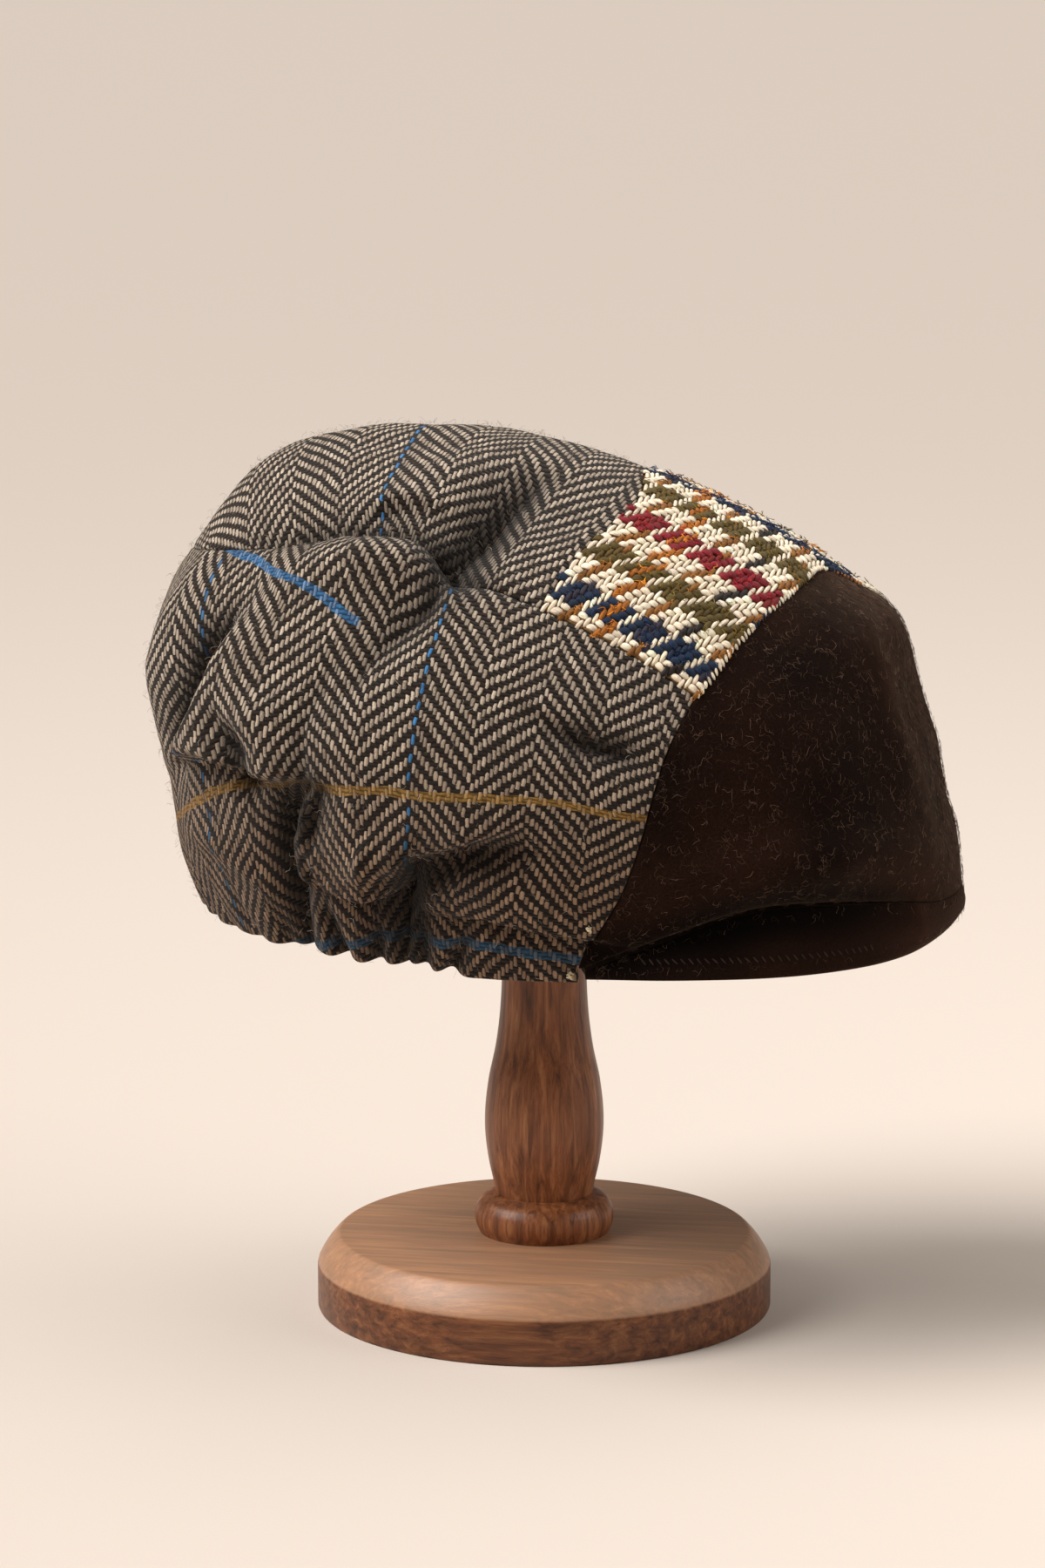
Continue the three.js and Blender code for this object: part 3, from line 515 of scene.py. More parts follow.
def panelSurface(name, u, v):
    # the cloth's outer and inner faces, and how deep in a fold each place lies
    panel = panels[name]
    spots = coonsSpots(panel, u, v)
    smooth = crownPoints(*fromDisc(spots))
    width = np.linalg.norm(np.diff(smooth, axis=1), axis=-1).sum(1).mean()
    height = np.linalg.norm(np.diff(smooth, axis=0), axis=-1).sum(0).mean()
    gap = clothLook["seamGap"]
    u, v = gap / width + u * (1 - 2 * gap / width), gap / height + v * (1 - 2 * gap / height)
    spots = coonsSpots(panel, u, v)
    smooth = crownPoints(*fromDisc(spots))
    normals = crownNormals(spots)
    angle, share = fromDisc(spots)
    lift, hollow = foldLift(smooth)
    lift += panel["raise"]
    roll = panel["roll"]
    lift += edgeRoll(v * height, roll["low"])[:, None] + edgeRoll((1 - v) * height, roll["high"])[:, None]
    lift += edgeRoll(u * width, roll["first"])[None]
    fromLast = ((1 - u) * width)[None]
    if name == "crown_front":
        # the felt runs on into the peak at the very front, and parts from it towards the sides
        lift += edgeRoll(fromLast, roll["last"] * np.clip((np.abs(angle) - 8) / 40, 0.08, 1))
        lift += edgeRoll(fromLast, leanAt(angle), peakLean["roll"])
        # painted shade where the felt turns in over the peak
        hollow = hollow + leanShade(angle, fromLast)
    else:
        lift += edgeRoll(fromLast, roll["last"])
    soft = np.array([noise.noise(Vector(p) / clothLook["softBroad"])
                     + 0.5 * noise.noise(Vector(p) / clothLook["softFine"])
                     for p in smooth.reshape(-1, 3)]).reshape(lift.shape)
    lift += soft * clothLook["softLift"]
    inHem = np.clip((share - clothLook["hemFrom"]) / clothLook["hemOver"], 0, 1)
    thickness = panel["wall"] + (panel["hem"] - panel["wall"]) * inHem * inHem * (3 - 2 * inHem)
    outer = smooth + normals * lift[..., None]
    return outer, outer - normals * thickness[..., None], hollow


def clothAt(spots, raised=0.0):
    # places on the folded cloth, and which way it faces there
    smooth, normals = crownPoints(*fromDisc(spots)), crownNormals(spots)
    return smooth + normals * (foldLift(smooth)[0][..., None] + raised), normals


def flattened(points, rounds=700, push=1.4):
    # a panel laid flat: its lengths, along, across and on both diagonals, are relaxed to the true ones
    rows, cols = points.shape[:2]
    x, y = runLengths(points[rows // 2]), runLengths(points[:, cols // 2])
    flat = np.stack(np.meshgrid(x, y), -1).astype(float)
    every, early, late = slice(None), slice(0, -1), slice(1, None)
    pairs = [((every, early), (every, late)), ((early, every), (late, every)),
             ((early, early), (late, late)), ((early, late), (late, early))]
    lengths = [np.linalg.norm(points[b] - points[a], axis=-1) for a, b in pairs]
    counts = np.zeros((rows, cols, 1))
    for a, b in pairs:
        counts[a] += 1
        counts[b] += 1
    for _ in range(rounds):
        shift = np.zeros_like(flat)
        for (a, b), length in zip(pairs, lengths):
            span = flat[b] - flat[a]
            now = np.maximum(np.linalg.norm(span, axis=-1), 1e-9)
            move = span * (0.5 * (1 - length / now))[..., None]
            shift[a] += move
            shift[b] -= move
        flat += shift / counts * push
    return flat


def spreadOver(coarse, u, v, uCoarse, vCoarse):
    # the coarse grid's values at each crossing of the fine one
    i = np.clip(np.searchsorted(uCoarse, u, side="right") - 1, 0, len(uCoarse) - 2)
    j = np.clip(np.searchsorted(vCoarse, v, side="right") - 1, 0, len(vCoarse) - 2)
    a = ((u - uCoarse[i]) / (uCoarse[i + 1] - uCoarse[i]))[None, :, None]
    b = ((v - vCoarse[j]) / (vCoarse[j + 1] - vCoarse[j]))[:, None, None]
    upper = coarse[j + 1][:, i] * (1 - a) + coarse[j + 1][:, i + 1] * a
    lower = coarse[j][:, i] * (1 - a) + coarse[j][:, i + 1] * a
    return lower * (1 - b) + upper * b


# where the weave's zero lies on each panel, and a second place further along the warp
grain = {
    "crown_side_right": {"zero": (99.3, 0.742), "along": (90.5, 0.49)},
    "crown_side_left": {"zero": (-99.3, 0.742), "along": (-90.5, 0.49)},
    "crown_top": {"zero": (103.5, 0.281), "along": (99, 0.12), "easedTo": (78, 0.24)},
    "crown_front": {"zero": (30, 0.7), "along": (30, 0.6)},
    "crown_patch": {"zero": (60, 0.5), "along": (50, 0.45)},
}


def weaveMap(name, u, v):
    # each place's x across the warp and y along it, in mm, and the flat panel's size
    panel = panels[name]
    uCoarse, vCoarse = np.linspace(0, 1, 53), np.linspace(0, 1, 39)
    points = panelSurface(name, uCoarse, vCoarse)[0]
    flat = flattened(points)
    spots = coonsSpots(panel, uCoarse, vCoarse)

    def flatAt(place):
        distance = np.linalg.norm(spots - onDisc(*place), axis=-1)
        close = np.argsort(distance.ravel())[:4]
        weights = 1 / (distance.ravel()[close] + 1e-4)
        return (flat.reshape(-1, 2)[close] * weights[:, None]).sum(0) / weights.sum()

    zero, warp = flatAt(grain[name]["zero"]), flatAt(grain[name]["along"])
    up = unit(warp - zero)
    right = np.array([up[1], -up[0]])
    fine = spreadOver(flat, u, v, uCoarse, vCoarse) - zero
    size = np.ptp((flat - zero) @ np.stack([right, up], 1), axis=(0, 1))
    x, y = fine @ right, fine @ up
    if "easedTo" in grain[name]:
        # the picks open out towards the middle of the panel
        middle, ease = grain[name]["easedTo"]
        fromEdge = np.minimum(y, 2 * middle - y)
        eased = fromEdge * (1 - ease * np.maximum(fromEdge, 0) / middle)
        y = np.where(y < middle, eased, 2 * middle * (1 - ease) - eased)
    return np.stack([x, y], -1), size


def buildPanel(name, material):
    panel = panels[name]
    cols, rows = panel["cells"]
    u, v = crowdedEnds(cols), crowdedEnds(rows)
    outer, inner, hollow = panelSurface(name, u, v)
    bpy.ops.mesh.primitive_grid_add(x_subdivisions=cols, y_subdivisions=rows, size=1)
    sheet = bpy.context.object
    sheet.data.vertices.foreach_set("co", (outer * mm).astype(np.float32).ravel())
    sheet.data.update()
    middle = sheet.data.polygons[(rows // 2) * cols + cols // 2]
    if middle.normal.dot(middle.center - Vector(insideCap * mm)) < 0:
        sheet.data.flip_normals()
    wall = sheet.modifiers.new("wall", "SOLIDIFY")
    wall.thickness = panel["wall"] * mm
    wall.offset = -1
    bpy.ops.object.modifier_apply(modifier="wall")
    both = np.concatenate([outer.reshape(-1, 3), inner.reshape(-1, 3)]) * mm
    sheet.data.vertices.foreach_set("co", both.astype(np.float32).ravel())
    flat, size = weaveMap(name, u, v)
    loops = np.empty(len(sheet.data.loops), int)
    sheet.data.loops.foreach_get("vertex_index", loops)
    perVertex = np.tile(flat.reshape(-1, 2) / 100, (2, 1))
    sheet.data.uv_layers[0].data.foreach_set("uv", perVertex[loops].astype(np.float32).ravel())
    shade = sheet.data.attributes.new("hollow", "FLOAT", "POINT")
    shade.data.foreach_set("value", np.tile(hollow.ravel(), 2).astype(np.float32))
    sheet.data.update()
    bpy.ops.object.shade_smooth()
    piece = newPiece(name + "_cloth", material, name)


# wool tweed; pitches in mm
tweed = {
    "endPitch": 1.42, "pickPitch": 1.45, "endsAcross": 13, "endWidth": 0.9, "pickWidth": 0.9,
    "light": "#D5C4B0", "lightShade": "#5C4E42", "dark": "#4D3E33", "darkShade": "#130D09",
    "foldShade": "#15100C", "soil": "#B08D6C", "blue": "#4A90CC", "blueShade": "#234B73", "ochre": "#CDA456",
    "ochreShade": "#80602A",
}


def tweedMaterial(name, lines):
    # carded wool in a 2/2 herringbone twill: pale warp floats over dark weft, soft and without gloss
    material, add, shader = newMaterial(name)
    uv = add("UVMap")
    inMm = add("VectorMath", {0: uv, 1: (100, 100, 100)}, operation="MULTIPLY")
    # the yarns wander a little, and the whole cloth is pulled off the straight here and there
    wobble = add("TexNoise", {"Vector": inMm, "Scale": 0.35, "Detail": 4.0, "Roughness": 0.65})
    centred = add("VectorMath", {0: wobble.outputs["Color"], 1: (0.5, 0.5, 0.5)}, operation="SUBTRACT")
    moved = add("VectorMath", {0: centred, 1: (1.3, 1.3, 0), 2: inMm}, operation="MULTIPLY_ADD")
    pull = add("TexNoise", {"Vector": inMm, "Scale": 0.045, "Detail": 2.0})
    centred = add("VectorMath", {0: pull.outputs["Color"], 1: (0.5, 0.5, 0.5)}, operation="SUBTRACT")
    moved = add("VectorMath", {0: centred, 1: (3.5, 5.0, 0), 2: moved}, operation="MULTIPLY_ADD")
    x, y = add("SeparateXYZ", {0: moved}).outputs[:2]

    # which end and which pick this is, and the herringbone's phase there
    ends = add("Math", {0: x, 1: tweed["endPitch"]}, operation="DIVIDE")
    picks = add("Math", {0: y, 1: tweed["pickPitch"]}, operation="DIVIDE")
    folded = add("Math", {0: ends, 1: float(tweed["endsAcross"])}, operation="PINGPONG")
    endIndex = add("Math", {0: folded}, operation="FLOOR")
    acrossEnd = add("Math", {0: folded}, operation="FRACT")
    pickIndex = add("Math", {0: picks}, operation="FLOOR")
    acrossPick = add("Math", {0: picks}, operation="FRACT")
    inRepeat = add("Math", {0: ends, 1: 2.0 * tweed["endsAcross"]}, operation="FLOORED_MODULO")
    turned = add("Math", {0: inRepeat, 1: float(tweed["endsAcross"])}, operation="GREATER_THAN")
    shift = add("Math", {0: turned, 1: 2.0, 2: endIndex}, operation="MULTIPLY_ADD")
    step = add("Math", {0: pickIndex, 1: shift})
    phase = add("Math", {0: step, 1: 4.0}, operation="FLOORED_MODULO")
    warpTop = add("Math", {0: phase, 1: 1.5}, operation="LESS_THAN")

    # a float is rounded across, and tapers and dips at its ends
    warpRun = add("Math", {0: phase, 1: acrossPick})
    warpEnd = add("Math", {0: warpRun, 1: 1.0}, operation="SUBTRACT")
    warpEnd = add("Math", {0: warpEnd}, operation="ABSOLUTE")
    warpEnd = add("Math", {0: warpEnd, 1: 3.0}, operation="POWER")
    weftRun = add("Math", {0: phase, 1: acrossEnd})
    weftEnd = add("Math", {0: weftRun, 1: 3.0}, operation="SUBTRACT")
    weftEnd = add("Math", {0: weftEnd}, operation="ABSOLUTE")
    warpSide = add("Math", {0: acrossEnd, 1: 0.5}, operation="SUBTRACT")
    fibre = add("TexNoise", {"Vector": inMm, "Scale": 2.6, "Detail": 5.0, "Roughness": 0.75})
    rough = add("Math", {0: fibre, 1: 0.5}, operation="SUBTRACT")
    warpSide = add("Math", {0: rough, 1: 0.45, 2: warpSide}, operation="MULTIPLY_ADD")
    warpSide = add("Math", {0: warpSide, 1: 0.5 * tweed["endWidth"]}, operation="DIVIDE")
    warpSide = add("Math", {0: warpSide, 1: 2.0}, operation="POWER")
    warpBody = add("Math", {0: 1.0, 1: warpSide}, operation="SUBTRACT")
    warpBody = add("Math", {0: warpEnd, 1: -0.3, 2: warpBody}, operation="MULTIPLY_ADD")
    warpBody = add("Clamp", {0: warpBody})
    warpHeight = add("Math", {0: warpBody, 1: 0.5}, operation="POWER")
    warpHeight = add("Math", {0: warpHeight, 1: warpTop}, operation="MULTIPLY")
    weftSide = add("Math", {0: acrossPick, 1: 0.5}, operation="SUBTRACT")
    weftSide = add("Math", {0: weftSide, 1: 0.5 * tweed["pickWidth"]}, operation="DIVIDE")
    weftSide = add("Math", {0: weftSide, 1: 2.0}, operation="POWER")
    weftBody = add("Math", {0: 1.0, 1: weftSide}, operation="SUBTRACT")
    weftBody = add("Math", {0: weftEnd, 1: -0.3, 2: weftBody}, operation="MULTIPLY_ADD")
    weftBody = add("Clamp", {0: weftBody})
    weftHeight = add("Math", {0: weftBody, 1: 0.55}, operation="MULTIPLY")
    yarnHeight = add("Math", {0: warpHeight, 1: weftHeight}, operation="MAXIMUM")

    # every end, and every float of it, has its own share of pale and grey wool
    endNumber = add("Math", {0: ends}, operation="FLOOR")
    floatNumber = add("Math", {0: step, 1: 4.0}, operation="DIVIDE")
    floatNumber = add("Math", {0: floatNumber}, operation="FLOOR")
    cell = add("CombineXYZ", {0: endNumber, 1: floatNumber})
    perFloat = add("TexWhiteNoise", {0: cell}, noise_dimensions="2D")
    perEnd = add("TexWhiteNoise", {"W": endNumber}, noise_dimensions="1D")
    streakScale = add("VectorMath", {0: inMm, 1: (2.2, 0.7, 1)}, operation="MULTIPLY")
    streaks = add("TexNoise", {"Vector": streakScale, "Scale": 2.0, "Detail": 4.0, "Roughness": 0.7})
    tint = add("Math", {0: perFloat, 1: 0.45, 2: -0.62}, operation="MULTIPLY_ADD")
    tint = add("Math", {0: perEnd, 1: 0.2, 2: tint}, operation="MULTIPLY_ADD")
    tint = add("Math", {0: streaks, 1: 1.7, 2: tint}, operation="MULTIPLY_ADD")
    tint = add("Clamp", {0: tint})
    speckle = add("MapRange", {0: fibre, 1: 0.35, 2: 0.72})
    warpColour = add("Mix", {0: tint, 6: tweed["lightShade"], 7: tweed["light"]}, data_type="RGBA")
    weftColour = add("Mix", {0: speckle, 6: tweed["darkShade"], 7: tweed["dark"]}, data_type="RGBA")

    # overchecks: single blue ends, and ochre and blue picks
    for key, at in lines["ends"]:
        dyed = add("Mix", {0: tint, 6: tweed[key + "Shade"], 7: tweed[key]}, data_type="RGBA")
        near = add("Math", {0: x, 1: at + 0.5 * tweed["endPitch"], 2: 0.6 * tweed["endPitch"]},
                   operation="COMPARE")
        warpColour = add("Mix", {0: near, 6: warpColour, 7: dyed}, data_type="RGBA")
    for key, at, slope, start, stop in lines["picks"]:
        level = add("Math", {0: x, 1: slope, 2: float(at)}, operation="MULTIPLY_ADD")
        dyed = add("Mix", {0: tint, 6: tweed[key + "Shade"], 7: tweed[key]}, data_type="RGBA")
        near = add("Math", {0: y, 1: level, 2: 1.05 * tweed["pickPitch"]}, operation="COMPARE")
        inside = add("Math", {0: x, 1: 0.5 * (start + stop), 2: 0.5 * (stop - start)},
                     operation="COMPARE")
        near = add("Math", {0: near, 1: inside}, operation="MULTIPLY")
        weftColour = add("Mix", {0: near, 6: weftColour, 7: dyed}, data_type="RGBA")
        partly = add("Math", {0: near, 1: 0.8}, operation="MULTIPLY")
        warpColour = add("Mix", {0: partly, 6: warpColour, 7: dyed}, data_type="RGBA")

    # painted shade: the yarns are darkened where they dip between their neighbours, and deep in the folds
    over = add("MapRange", {0: warpHeight, 1: 0.1, 2: 0.4})
    colour = add("Mix", {0: over, 6: weftColour, 7: warpColour}, data_type="RGBA")
    shade = add("MapRange", {0: yarnHeight, 1: 0.0, 2: 0.75, 3: 0.25, 4: 1.0})
    colour = add("Mix", {0: 1.0, 6: colour, 7: shade}, data_type="RGBA", blend_type="MULTIPLY")
    hollow = add("Attribute", attribute_name="hollow")
    foldShade = add("MapRange", {0: hollow.outputs["Fac"], 1: 1.0, 2: 9.0, 3: 0.0, 4: 0.85})
    colour = add("Mix", {0: foldShade, 6: colour, 7: tweed["foldShade"]}, data_type="RGBA")
    # painted shade: the cloth is darkened and browned towards its hem, where the lower parts face down and
    # get less light
    height = add("SeparateXYZ", {0: add("TexCoord").outputs["Object"]})
    towardsHem = add("MapRange", {0: height.outputs[2], 1: 0.212, 2: 0.16, 3: 0.0, 4: 0.75})
    colour = add("Mix", {0: towardsHem, 6: colour, 7: tweed["soil"]}, data_type="RGBA", blend_type="MULTIPLY")
    relief = add("Math", {0: fibre, 1: 0.5, 2: yarnHeight}, operation="MULTIPLY_ADD")
    bump = add("Bump", {"Height": relief, "Strength": 0.9, "Distance": 0.0007})
    fillInputs(shader, {"Base Color": colour, "Roughness": 0.95, "Sheen Weight": 0.08, "Sheen Roughness": 0.5,
                        "Specular IOR Level": 0.2, "Normal": bump})
    return material


# blue ends by place; picks by height, slope, start and stop, all in mm from the weave's zero
sideLines = {"ends": [("blue", 0), ("blue", 97)],
             "picks": [("ochre", 1.5, -0.1, -300, 300), ("blue", 42.4, 0.43, 28, 130),
                       ("blue", -59, 0, -300, 300)]}
topLines = {"ends": [("blue", 0)], "picks": []}
tweedSide = tweedMaterial("Herringbone wool tweed", sideLines)
tweedTop = tweedMaterial("Herringbone wool tweed, top", topLines)


felt = {"deep": "#0F0704", "pale": "#2B1810", "slot": "#040201", "sheen": "#C9A78E"}


def feltMaterial():
    # milled wool felt: dense and matt, a dark brown ground with a faint sheen from its fibre ends
    material, add, shader = newMaterial("Milled wool felt, dark brown")
    place = add("TexCoord").outputs["Object"]
    fine = add("TexNoise", {"Vector": place, "Scale": 1500.0, "Detail": 5.0, "Roughness": 0.75})
    broad = add("TexNoise", {"Vector": place, "Scale": 25.0, "Detail": 1.0})
    ramp = add("ValToRGB", {0: add("Math", {0: fine, 1: broad}, operation="MULTIPLY")})
    stops = ramp.color_ramp.elements
    stops[0].position, stops[0].color = 0.15, hexColour(felt["deep"])
    stops[1].position, stops[1].color = 0.42, hexColour(felt["pale"])
    # painted shade: the felt is darkened towards near black deep in its folds, and in the slot where the
    # crown's felt turns in over the peak
    hollow = add("Attribute", attribute_name="hollow")
    inside = add("MapRange", {0: hollow.outputs["Fac"], 1: 0.0, 2: 8.0, 3: 0.0, 4: 0.9})
    colour = add("Mix", {0: inside, 6: ramp, 7: felt["slot"]}, data_type="RGBA")
    bump = add("Bump", {"Height": fine, "Strength": 0.5, "Distance": 0.0006})
    fillInputs(shader, {"Base Color": colour, "Roughness": 1.0, "Sheen Weight": 0.25, "Sheen Roughness": 0.3,
                        "Sheen Tint": felt["sheen"], "Specular IOR Level": 0.08, "Normal": bump})
    return material


feltBrown = feltMaterial()


def fibreMaterial(name):
    # single wool fibres: each has its own dyed shade, and hardly any shine
    material, add, shader = newMaterial(name)
    dyed = add("Attribute", attribute_name="dyed")
    fillInputs(shader, {"Base Color": dyed.outputs["Color"], "Roughness": 0.9, "Specular IOR Level": 0.15})
    return material


def addFibres(name, roots, ups, fibre, colours, seed, material):
    # fine tapering strands that lie on the cloth or stand out of it; a fibre's length, lift and curl are
    # (least, most) in mm
    dice = np.random.default_rng(seed)
    count, rings, sides = len(roots), 5, 3
    way = dice.normal(size=(count, 3))
    way = unit(way - ups * (way * ups).sum(-1, keepdims=True))
    aside = np.cross(ups, way)
    t = np.linspace(0, 1, rings)[None, :, None]
    long, high, wave = (dice.uniform(*fibre[key], (count, 1, 1)) for key in ("length", "lift", "curl"))
    turns, start = dice.uniform(0.4, 1.5, (count, 1, 1)), dice.uniform(0, 6.3, (count, 1, 1))
    centre = roots[:, None] + way[:, None] * long * (t - 0.3)
    centre += aside[:, None] * wave * np.sin(6.3 * turns * t + start)
    centre = centre + ups[:, None] * (0.25 + high * np.sin(1.9 * t))
    radius = fibre["thickness"] * np.sqrt(np.clip(1.02 - t, 0, 1)) * np.clip(t * 8 + 0.4, 0, 1)
    spin = np.arange(sides) * 2 * math.pi / sides
    ring = aside[:, None, None] * np.cos(spin)[:, None] + ups[:, None, None] * np.sin(spin)[:, None]
    points = (centre[:, :, None] + ring * radius[:, :, None]).reshape(count, rings * sides, 3)
    faces = [[low + k, low + (k + 1) % sides, low + sides + (k + 1) % sides, low + sides + k]
             for low in range(0, (rings - 1) * sides, sides) for k in range(sides)]
    faces += [list(range(sides))[::-1], list(range((rings - 1) * sides, rings * sides))]
    joinedCopies(name, points, faces, colours, np.zeros((count, rings * sides, 3)), material)


# checked cloth: a 2/2 twill whose every float is a yarn of its own; sizes in mm
check = {
    "crossPitch": 1.5, "rows": 72, "edgeShare": 0.75, "segments": 8, "rings": 6,
    "crossHalf": (1.15, 0.66, 0.55), "rowHalf": (2.0, 0.5, 0.6),  # length, width and height, halved
    "rise": 0.85, "dip": 0.8, "over": 1.3,
    "cream": "#F8E9D0", "navy": "#15263F", "olive": "#5A4A20", "red": "#7E1923", "rust": "#A9641F",
    "brown": "#8A5A26", "charcoal": "#2A2320", "ground": "#6A4628", "groundPale": "#C39A66",
    "fuzzPerFloat": 4, "takenUp": 0.9, "slack": 0.35,
}
checkFibre = {"length": (1.2, 3.0), "lift": (0.3, 1.0), "curl": (0.3, 0.8), "thickness": 0.21}
dyedRows = ["navy", "olive", "red", "olive"] * 2 + ["navy"]
rowStripes = ["cream"] * 2 + [name for dyed in dyedRows for name in [dyed] * 4 + ["cream"] * 4][:-2]
dyedCrosses = ["brown", "rust", "brown"] + ["charcoal", "brown"] * 3
crossStripes = ["cream"] * 3 + [name for dyed in dyedCrosses for name in [dyed] * 4 + ["cream"] * 4][:-4]


def checkGround():
    # fulled wool ground: matt, and shaded, since it shows only between the floats
    material, add, shader = newMaterial("Checked wool cloth, ground")
    fine = add("TexNoise", {"Vector": add("TexCoord").outputs["Object"], "Scale": 900.0, "Detail": 4.0})
    colour = add("Mix", {0: fine, 6: check["ground"], 7: check["groundPale"]}, data_type="RGBA")
    fillInputs(shader, {"Base Color": colour, "Roughness": 1.0})
    return material


def yarnMaterial(name, sheen):
    # worsted yarn: each has its own dyed colour, with fine plied streaks and a little pile
    material, add, shader = newMaterial(name)
    dyed = add("Attribute", attribute_name="dyed")
    strand = add("Attribute", attribute_name="strand")
    streaks = add("TexNoise", {"Vector": strand.outputs["Vector"], "Scale": 1.0, "Detail": 3.0})
    shade = add("MapRange", {0: streaks, 1: 0.3, 2: 0.7, 3: 0.62, 4: 1.08})
    colour = add("Mix", {0: 1.0, 6: dyed.outputs["Color"], 7: shade}, data_type="RGBA", blend_type="MULTIPLY")
    bump = add("Bump", {"Height": streaks, "Strength": 0.5, "Distance": 0.0003})
    fillInputs(shader, {"Base Color": colour, "Roughness": 0.8, "Sheen Weight": sheen,
                        "Specular IOR Level": 0.25, "Normal": bump})
    return material


def grainShape(segments, rings):
    # one float, long in x, as a rice grain of unit size
    bpy.ops.mesh.primitive_uv_sphere_add(segments=segments, ring_count=rings, radius=1,
                                         rotation=(0, math.pi / 2, 0))
    bpy.ops.object.transform_apply(location=True, rotation=True, scale=True)
    grainMesh = bpy.context.object.data
    spots = np.array([v.co for v in grainMesh.vertices])
    faces = [list(face.vertices) for face in grainMesh.polygons]
    bpy.ops.object.delete()
    return spots, faces


def joinedCopies(name, points, faces, colours, strand, material):
    # copies of one small shape, joined: points (copy, vertex, 3) in mm, colours (copy, 3)
    copies, size = points.shape[:2]
    allFaces = [[v + k * size for v in face] for k in range(copies) for face in faces]
    mesh = bpy.data.meshes.new(name)
    mesh.from_pydata((points.reshape(-1, 3) * mm).tolist(), [], allFaces)
    dyed = mesh.attributes.new("dyed", "FLOAT_COLOR", "POINT")
    paint = np.ones((copies, size, 4))
    paint[..., :3] = colours[:, None]
    dyed.data.foreach_set("color", paint.ravel().astype(np.float32))
    lines = mesh.attributes.new("strand", "FLOAT_VECTOR", "POINT")
    lines.data.foreach_set("vector", strand.reshape(-1).astype(np.float32))
    piece = bpy.data.objects.new(name, mesh)
    bpy.context.collection.objects.link(piece)
    bpy.ops.object.select_all(action="DESELECT")
    piece.select_set(True)
    bpy.context.view_layer.objects.active = piece
    bpy.ops.object.shade_smooth()
    newPiece(name, material, None)


strandScale = [1.4, 2, 2]  # how often the plied streaks repeat along a short yarn and round it


class ClothMap:
    # places on a panel by distance: down from its last edge, and across from its low edge
    def __init__(self, name):
        self.u, self.v = np.linspace(0, 1, 80), np.linspace(0, 1, 220)
        self.points = panelSurface(name, self.u, self.v)[0]
        steps = np.linalg.norm(np.diff(self.points, axis=1), axis=-1)
        self.down = np.concatenate([np.zeros((len(self.v), 1)), np.cumsum(steps[:, ::-1], axis=1)], axis=1)
        self.across = runLengths(self.points[:, len(self.u) // 2])
        normals = unit(np.cross(np.gradient(self.points, axis=1), np.gradient(self.points, axis=0)))
        self.normals = normals * np.sign(((self.points - insideCap) * normals).sum(-1).mean())

    def lengthAt(self, across):
        row = np.interp(across, self.across, np.arange(len(self.v)))
        return np.interp(row, np.arange(len(self.v)), self.down[:, -1])

    def place(self, down, across):
        row = np.interp(across, self.across, np.arange(len(self.v)))
        past = across - np.clip(across, 0, self.across[-1])
        lower = np.minimum(row.astype(int), len(self.v) - 2)
        t = (row - lower)[..., None]
        spots, ups = [], []
        for k in (lower, lower + 1):
            lengths = self.down[k]
            total = lengths[..., -1]
            share = (lengths <= np.clip(down, 0, total)[..., None]).sum(-1) - 1
            share = np.clip(share, 0, len(self.u) - 2)
            first = np.take_along_axis(lengths, share[..., None], -1)[..., 0]
            second = np.take_along_axis(lengths, share[..., None] + 1, -1)[..., 0]
            w = ((down - first) / (second - first))[..., None]  # past an edge it runs straight on
            column = len(self.u) - 1 - share
            spots.append(self.points[k, column] * (1 - w) + self.points[k, column - 1] * w)
            ups.append(self.normals[k, column])
        spot = spots[0] * (1 - t) + spots[1] * t + unit(spots[1] - spots[0]) * past[..., None]
        return spot, ups[0] * (1 - t) + ups[1] * t


def acrossRows(rows, width):
    # how far across the cloth a row lies: the rows are drawn closer together towards its two edges
    half = check["rows"] / 2
    t = 1 - np.abs(half - rows) / half
    share = check["edgeShare"] * t + (1 - check["edgeShare"]) * t * np.abs(t)
    return np.where(rows < half, share, 2 - share) * width / 2


